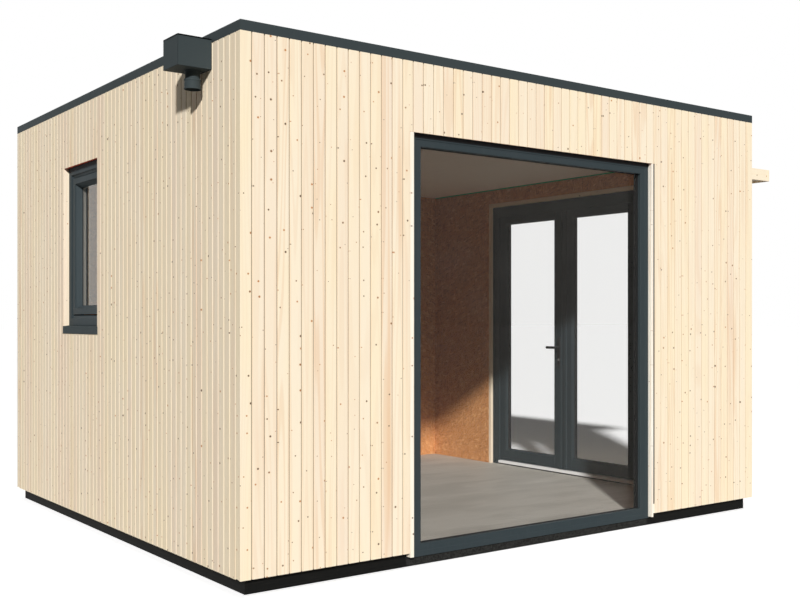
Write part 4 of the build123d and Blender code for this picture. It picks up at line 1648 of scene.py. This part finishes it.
@dataclass
class Roof:
    """The rubber roof covering with its laps, and the folded metal trim round it."""

    lap: float = 0.06
    laps: int = 3
    ease: float = 0.0022
    skin: float = 0.004
    sink: float = 0.0012
    ripple: float = 0.00022
    steps: int = 60
    lap_end: float = 0.012
    slot_height: float = 0.026
    slot_half: float = 0.05

    def build(self) -> None:
        """Make the covering and the trim."""
        self.covering()
        self.trim()

    def covering(self) -> None:
        """A slightly uneven rubber sheet in one fall, with glued laps."""
        low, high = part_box("roof_covering")
        chance = tones("roof covering")
        wide, deep = high.x - low.x, high.y - low.y
        base, fall = low.z + self.skin, high.z - low.z - self.skin
        waves = []
        for _ in range(5):
            waves.append((chance.uniform(2.0, 7.0), chance.uniform(2.0, 7.0), chance.uniform(0.0, 6.0)))
        rings = []
        for row in range(self.steps + 1):
            north = low.y + deep * row / self.steps
            ring = []
            for column in range(self.steps + 1):
                east = low.x + wide * column / self.steps
                wave = sum(math.sin(one * east + two * north + start) for one, two, start in waves)
                edge = min(row, self.steps - row, column, self.steps - column) / 4.0
                height = base + fall * column / self.steps - self.sink
                ring.append(Vector((east, north, height + self.ripple * wave * min(1.0, edge))))
            ring += [Vector((high.x, north, low.z)), Vector((low.x, north, low.z))]
            rings.append(ring)
        form = Form()
        form.skin(rings)
        half = self.lap / 2.0
        section = ((-half, -0.003), (0.004 - half, 0.0006), (half - 0.004, 0.0006), (half, -0.003))
        for seam in range(self.laps):
            north = low.y + deep * (seam + 1) / (self.laps + 1)
            ends = []
            for east in (low.x + self.lap_end, high.x - self.lap_end):
                rise = base + fall * (east - low.x) / wide
                ends.append([Vector((east, north + aside, rise + lift)) for aside, lift in section])
            form.skin(ends)
        form.piece("roof_covering_sheet", Body.CABIN, Slot.RUBBER, ROOF_RUBBER, ["roof_covering"], 30.0)

    def trim(self) -> None:
        """Folded metal trim with mitred corners, and the drain slot on the left."""
        low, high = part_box("roof_trim_front")
        width = high.y - low.y
        foot, top = low.z, high.z
        inner = top - 0.004
        slot_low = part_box("roof_covering")[0].z + self.skin
        slot_high = slot_low + self.slot_height
        middle = (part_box("rain_hopper")[0].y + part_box("rain_hopper")[1].y) / 2.0
        profile = [
            (0.0, foot),
            (0.0, top - self.ease),
            (self.ease * 0.3, top - self.ease * 0.3),
            (self.ease, top),
            (width - self.ease, inner),
            (width - self.ease * 0.3, inner - self.ease * 0.3),
            (width, inner - self.ease),
            (width, foot),
        ]
        shell = Rect(SHELL_LOW.x, SHELL_HIGH.x, SHELL_FRONT, SHELL_HIGH.y)
        near, far = (shell.left, middle - self.slot_half), (shell.left, middle + self.slot_half)

        def place(east: float, north: float, height: float) -> Vector:
            """A point on the roof."""
            return Vector((east, north, height))

        form = Form()
        form.sweep([near, *shell.loop(), far], profile, place, False)
        above = [(aside, max(height, slot_high)) for aside, height in profile]
        below = [(0.0, foot), (0.0, slot_low), (width, slot_low), (width, foot)]
        for part in (above, below):
            form.sweep([far, near], part, place, False)
        nodes = [f"roof_trim_{side}" for side in ("front", "right", "back", "left")]
        form.piece("roof_trim_capping", Body.CABIN, Slot.SHEET, METAL_SHEET, nodes, 20.0)


@dataclass
class RainHopper:
    """The open metal box under the roof's drain slot, with its turned outlet."""

    sheet: float = 0.003
    hem: float = 0.007
    ease: float = 0.0009
    bore: float = 0.03

    def build(self) -> None:
        """Make the box and the outlet."""
        self.box()
        self.outlet()

    def box(self) -> None:
        """Four sides and a floor of sheet, with a folded rim and fixing screws."""
        area = LEFT.rect("rain_hopper")
        outer, wall_face = LEFT.depths("rain_hopper")
        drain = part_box("roof_trim_left")[0].z
        sheet = self.sheet
        form = Form()
        form.block(LEFT, area, (outer, outer + sheet), self.ease)
        back = Rect(area.left, area.right, area.low, drain)
        form.block(LEFT, back, (wall_face - sheet, wall_face), self.ease)
        for left in (area.left, area.right - sheet):
            side = Rect(left, left + sheet, area.low, area.high)
            form.block(LEFT, side, (outer + SLIVER, wall_face - SLIVER), self.ease)
        rim = [
            (0.0, area.high - self.hem),
            (0.0002, area.high - self.hem - 0.0008),
            (0.006, area.high - self.hem - 0.0008),
            (0.0068, area.high - self.hem),
            (0.0068, area.high - 0.001),
            (0.0058, area.high),
            (0.001, area.high),
            (0.0, area.high - 0.001),
        ]
        way = [(wall_face, area.left), (outer, area.left), (outer, area.right), (wall_face, area.right)]

        def place(depth: float, along: float, up: float) -> Vector:
            """A point on the rim."""
            return LEFT.place(along, up, depth)

        form.sweep(way[::-1], rim, place, False)
        self.floor(form, area, (outer, wall_face))
        form.piece("rain_hopper_box", Body.CABIN, Slot.SHEET, METAL_SHEET, ["rain_hopper"])
        screws = Form()
        for along in (area.left + 0.03, area.right - 0.03):
            spot = LEFT.place(along, area.low + 0.075, wall_face - sheet)
            screws.turn([(0.006, 0.0005), (0.006, -0.0015), (0.003, -0.003)], spot, LEFT.inward, False, 16)
        screws.piece("rain_hopper_screws", Body.CABIN, Slot.HINGE, SCREW_STEEL, (), 40.0)

    def floor(self, form: Form, area: Rect, depths: Pair) -> None:
        """The hopper's floor with a round drain hole."""
        low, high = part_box("rain_outlet")
        centre = (low + high) / 2.0
        steps = 32
        corners = []
        for step in range(steps):
            angle = 2.0 * math.pi * (step + 0.5) / steps
            run = Vector((math.cos(angle), math.sin(angle)))
            reach = []
            for part, near, far in (
                (run.x, SHELL_LOW.x + depths[0] - centre.x, SHELL_LOW.x + depths[1] - centre.x),
                (run.y, SHELL_FRONT + area.left - centre.y, SHELL_FRONT + area.right - centre.y),
            ):
                if abs(part) > 1e-6:
                    reach.append((far if part > 0 else near) / part)
            corners.append((run, min(reach)))
        rings = []
        for inner, height in ((True, 0.0), (False, 0.0), (False, self.sheet), (True, self.sheet)):
            ring = []
            for run, reach in corners:
                radius = self.bore if inner else reach - HAIR
                ring.append(Vector((centre.x + run.x * radius, centre.y + run.y * radius, area.low + height)))
            rings.append(ring)
        form.skin(rings, True)

    def outlet(self) -> None:
        """A turned neck and a wider socket with a rolled rim."""
        low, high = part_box("rain_outlet")
        centre = Vector(((low.x + high.x) / 2.0, (low.y + high.y) / 2.0, 0.0))
        neck_end = high.z - 0.04
        outside = (high.x - low.x) / 2.0
        profile = [
            (self.bore, high.z),
            (0.036, high.z),
            (0.036, high.z - 0.004),
            (0.033, high.z - 0.006),
            (0.033, neck_end + 0.004),
            (0.0365, neck_end + 0.001),
            (outside - 0.0006, neck_end),
            (outside, neck_end - 0.002),
            (outside, neck_end - 0.007),
            (outside - 0.0012, neck_end - 0.009),
            (outside - 0.0012, low.z + 0.008),
            (outside, low.z + 0.006),
            (outside, low.z + 0.001),
            (outside - 0.001, low.z),
            (0.0352, low.z),
            (0.035, neck_end - 0.003),
            (self.bore, neck_end - 0.003),
        ]
        form = Form()
        form.turn(profile, centre, UP, True, 40)
        form.piece("rain_outlet_socket", Body.CABIN, Slot.SHEET, METAL_SHEET, ["rain_outlet"], 30.0)


@dataclass
class Canopy:
    """The board canopy over the French doors."""

    fascia: float = 0.022
    ease: float = 0.0015
    board: float = 0.06
    groove: float = 0.004
    sheet: float = 0.003
    soffit_thickness: float = 0.014
    soffit_ease: float = 0.0012

    def build(self) -> None:
        """Make the fascia boards, the soffit boards and the top sheet."""
        low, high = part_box("canopy_fascia")
        deck_low, deck_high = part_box("canopy_deck")
        long_side = Form()
        long_side.tone = 0.31
        long_side.bar(Vector((high.x - self.fascia, low.y, low.z)), high, self.ease)
        ends = Form()
        for north, tone in ((low.y, 0.62), (high.y - self.fascia, 0.12)):
            ends.tone = tone
            start = Vector((low.x, north, low.z))
            ends.bar(start, Vector((high.x - self.fascia, north + self.fascia, high.z)), self.ease)
        long_side.piece("canopy_fascia_long", Body.CABIN, Slot.CLADDING, CANOPY_LONG, ["canopy_fascia"])
        ends.piece("canopy_fascia_ends", Body.CABIN, Slot.CLADDING, CANOPY_SHORT)
        soffit = Form()
        chance = tones("canopy soffit")
        count = int((deck_high.x - deck_low.x) / self.board)
        width = (deck_high.x - deck_low.x) / count
        for index in range(count):
            soffit.tone = chance.random()
            left = deck_low.x + width * index
            start = Vector((left + self.groove / 2.0, deck_low.y, deck_low.z))
            end = Vector((left + width - self.groove / 2.0, deck_high.y, deck_low.z + self.soffit_thickness))
            soffit.bar(start, end, self.soffit_ease)
        soffit.bar(
            Vector((deck_low.x, deck_low.y, deck_low.z + 0.008)),
            Vector((deck_high.x, deck_high.y, deck_high.z - self.sheet)),
            self.ease,
        )
        soffit.piece("canopy_soffit_boards", Body.CABIN, Slot.CLADDING, CANOPY_LONG, ["canopy_deck"])
        top = Form()
        top.bar(
            Vector((deck_low.x, deck_low.y + 0.002, deck_high.z - self.sheet)),
            Vector((deck_high.x - 0.002, deck_high.y - 0.002, deck_high.z)),
            0.001,
        )
        top.piece("canopy_top_sheet", Body.CABIN, Slot.RUBBER, ROOF_RUBBER)


@dataclass
class Room:
    """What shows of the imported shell: plinth, floor, wall panels, ceiling and roof panel."""

    seal: float = 0.009
    edge: float = 0.003
    edge_rise: float = 0.003

    def build(self) -> None:
        """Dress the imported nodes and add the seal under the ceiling."""
        dress(PLINTH_STAIN, "plinth_front", "plinth_back")
        dress(PLINTH_STAIN_DEEP, "plinth_left", "plinth_right")
        dress(GREY_FLOOR, "floor")
        dress(FLAKES, "front_wall_left", "front_wall_right", "front_wall_header", "back_wall", "left_wall")
        dress(FLAKES, "right_wall_front", "right_wall_rear", "right_wall_header")
        dress(PALE_CEILING, "ceiling")
        dress(FLAKES, "roof_panel")
        low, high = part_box("ceiling")
        form = Form()
        start = Vector((high.x - self.seal, low.y + 0.05, low.z - self.seal))
        form.bar(start, Vector((high.x - HAIR, high.y - 0.02, low.z - 0.0003)))
        form.piece("ceiling_seal", Body.CABIN, Slot.CEILING, GREEN_SEAL)
        self.edges()

    def edges(self) -> None:
        """Thin strips that close the joint between the floor and the wall panels."""
        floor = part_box("floor")[1].z + SLIVER
        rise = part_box("back_wall")[0].z + self.edge_rise
        low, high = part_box("ceiling")
        thin = self.edge
        form = Form()
        runs = [
            (low.x, low.x + thin, low.y, high.y),
            (low.x, high.x, high.y - thin, high.y),
            (high.x - thin, high.x, low.y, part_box("door_lining")[0].y),
            (high.x - thin, high.x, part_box("door_lining")[1].y, high.y),
            (low.x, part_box("front_wall_left")[1].x, low.y, low.y + thin),
            (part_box("front_wall_right")[0].x, high.x, low.y, low.y + thin),
        ]
        for left, right, front, back in runs:
            form.bar(Vector((left, front, floor)), Vector((right, back, rise)), 0.0006)
        form.piece("floor_edge_strips", Body.CABIN, Slot.WALL_BOARD, FLAKES)


@dataclass
class Studio:
    """Camera, sun, weak fill lamp, soft sky and floor."""

    eye: tuple[float, float, float] = (-3.807, -6.161, 1.2127)
    heading: float = -39.99
    lens: float = 48.8
    shift: Pair = (-0.165, 0.0166)
    sun_way: tuple[float, float, float] = (0.482, 0.766, -0.425)
    sun_strength: float = 3.85
    sun_spread: float = 3.0
    fill_way: tuple[float, float, float] = (-0.66, -0.75, -0.025)
    fill_strength: float = 1.15
    fill_spread: float = 5.0
    white: float = 1.004
    sky: float = 0.048
    floor_bounce: Colour = (0.27, 0.262, 0.253, 1.0)
    floor_reach: float = 150.0
    floor_drop: float = 0.0006

    def build(self) -> None:
        """Set up the camera, the light and the floor."""
        self.camera()
        self.light()
        self.floor()
        bpy.context.scene.view_settings.view_transform = "Standard"

    def camera(self) -> None:
        """A level camera at the photograph's viewing angle."""
        data = bpy.data.cameras.new("camera")
        data.lens = self.lens
        data.sensor_width = 36.0
        data.sensor_fit = "HORIZONTAL"
        data.shift_x, data.shift_y = self.shift
        made = bpy.data.objects.new("camera", data)
        made.location = self.eye
        made.rotation_euler = (math.pi / 2.0, 0.0, math.radians(self.heading))
        bpy.context.scene.collection.objects.link(made)
        bpy.context.scene.camera = made

    def seen(self, nodes: Nodes) -> Value:
        """One for what the camera, mirrors and glass see, and nought for light that bounces."""
        path = nodes.add("ShaderNodeLightPath", {}, {}, "Is Camera Ray")
        return path.larger(path.beside("Is Glossy Ray")).larger(path.beside("Is Transmission Ray"))

    def light(self) -> None:
        """A low sun from the front left, a weak one from behind and a soft even sky that shows white."""
        for name, way, strength, spread in (
            ("sun", self.sun_way, self.sun_strength, self.sun_spread),
            ("fill", self.fill_way, self.fill_strength, self.fill_spread),
        ):
            data = bpy.data.lights.new(name, "SUN")
            data.energy = strength
            data.angle = math.radians(spread)
            made = bpy.data.objects.new(name, data)
            made.rotation_euler = Vector(way).to_track_quat("-Z", "Y").to_euler()
            made.visible_glossy = name == "sun"
            bpy.context.scene.collection.objects.link(made)
        world = bpy.data.worlds.new("sky")
        bpy.context.scene.world = world
        world.use_nodes = True
        nodes = Nodes(world.node_tree)
        colour = nodes.mix(self.seen(nodes), (self.sky, self.sky, self.sky, 1.0), (1.0, 1.0, 1.0, 1.0))
        nodes.surface("ShaderNodeOutputWorld", nodes.add("ShaderNodeBackground", {}, {"Color": colour}))

    def floor(self) -> None:
        """A plain pale floor that keeps the cabin's shadow."""
        reach = self.floor_reach
        mesh = bpy.data.meshes.new("floor_stage")
        square = Rect(-reach, reach, -reach, reach)
        corners = [(east, north, -self.floor_drop) for east, north in square.loop()]
        mesh.from_pydata(corners, [], [(0, 1, 2, 3)])
        material = bpy.data.materials.new("floor_stage")
        material.use_nodes = True
        nodes = Nodes(material.node_tree)
        lamps = self.sun_strength * self.sun_way[2] + self.fill_strength * self.fill_way[2]
        level = self.white / (self.sky - lamps / math.pi)
        colour = nodes.mix(self.seen(nodes), self.floor_bounce, (level, level, level, 1.0))
        nodes.surface("ShaderNodeOutputMaterial", nodes.add("ShaderNodeBsdfDiffuse", {}, {"Color": colour}))
        mesh.materials.append(material)
        made = bpy.data.objects.new("floor_stage", mesh)
        bpy.context.scene.collection.objects.link(made)


def claddings() -> list[Cladding]:
    """The cladding of all four walls, with the groove places that the photograph shows."""
    sash = LEFT.rect("window_sash").grown(WINDOW_RAIL)
    window = Rect(sash.left, sash.right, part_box("window_sill")[0].z, sash.high)
    front_start, side_start = 0.052, 0.042
    walls = [
        Cladding(FRONT, f"front_cladding_{part}", front_start, None, True, groove=0.006, side_shade=0.05)
        for part in ("left", "right", "header")
    ]
    walls.append(Cladding(BACK, "back_cladding", front_start, None, True))
    walls.append(Cladding(LEFT, "left_cladding", side_start, window))
    walls += [Cladding(RIGHT, f"right_cladding_{part}", side_start) for part in ("front", "rear", "header")]
    return walls


def main() -> None:
    """Build the cabin's pieces in order."""
    logging.basicConfig(level=logging.INFO, format="%(name)s: %(message)s")
    Studio().build()
    for wall in claddings():
        wall.build()
    surround = DoorSurround()
    for part in (
        OpeningLining(),
        Glazing(),
        SideWindow(),
        surround,
        DoorLeaf(-1.0, Body.DOOR_FRONT, surround),
        DoorLeaf(1.0, Body.DOOR_REAR, surround),
        Lever(),
        Roof(),
        RainHopper(),
        Canopy(),
        Room(),
    ):
        part.build()


if __name__ == "__main__":
    main()
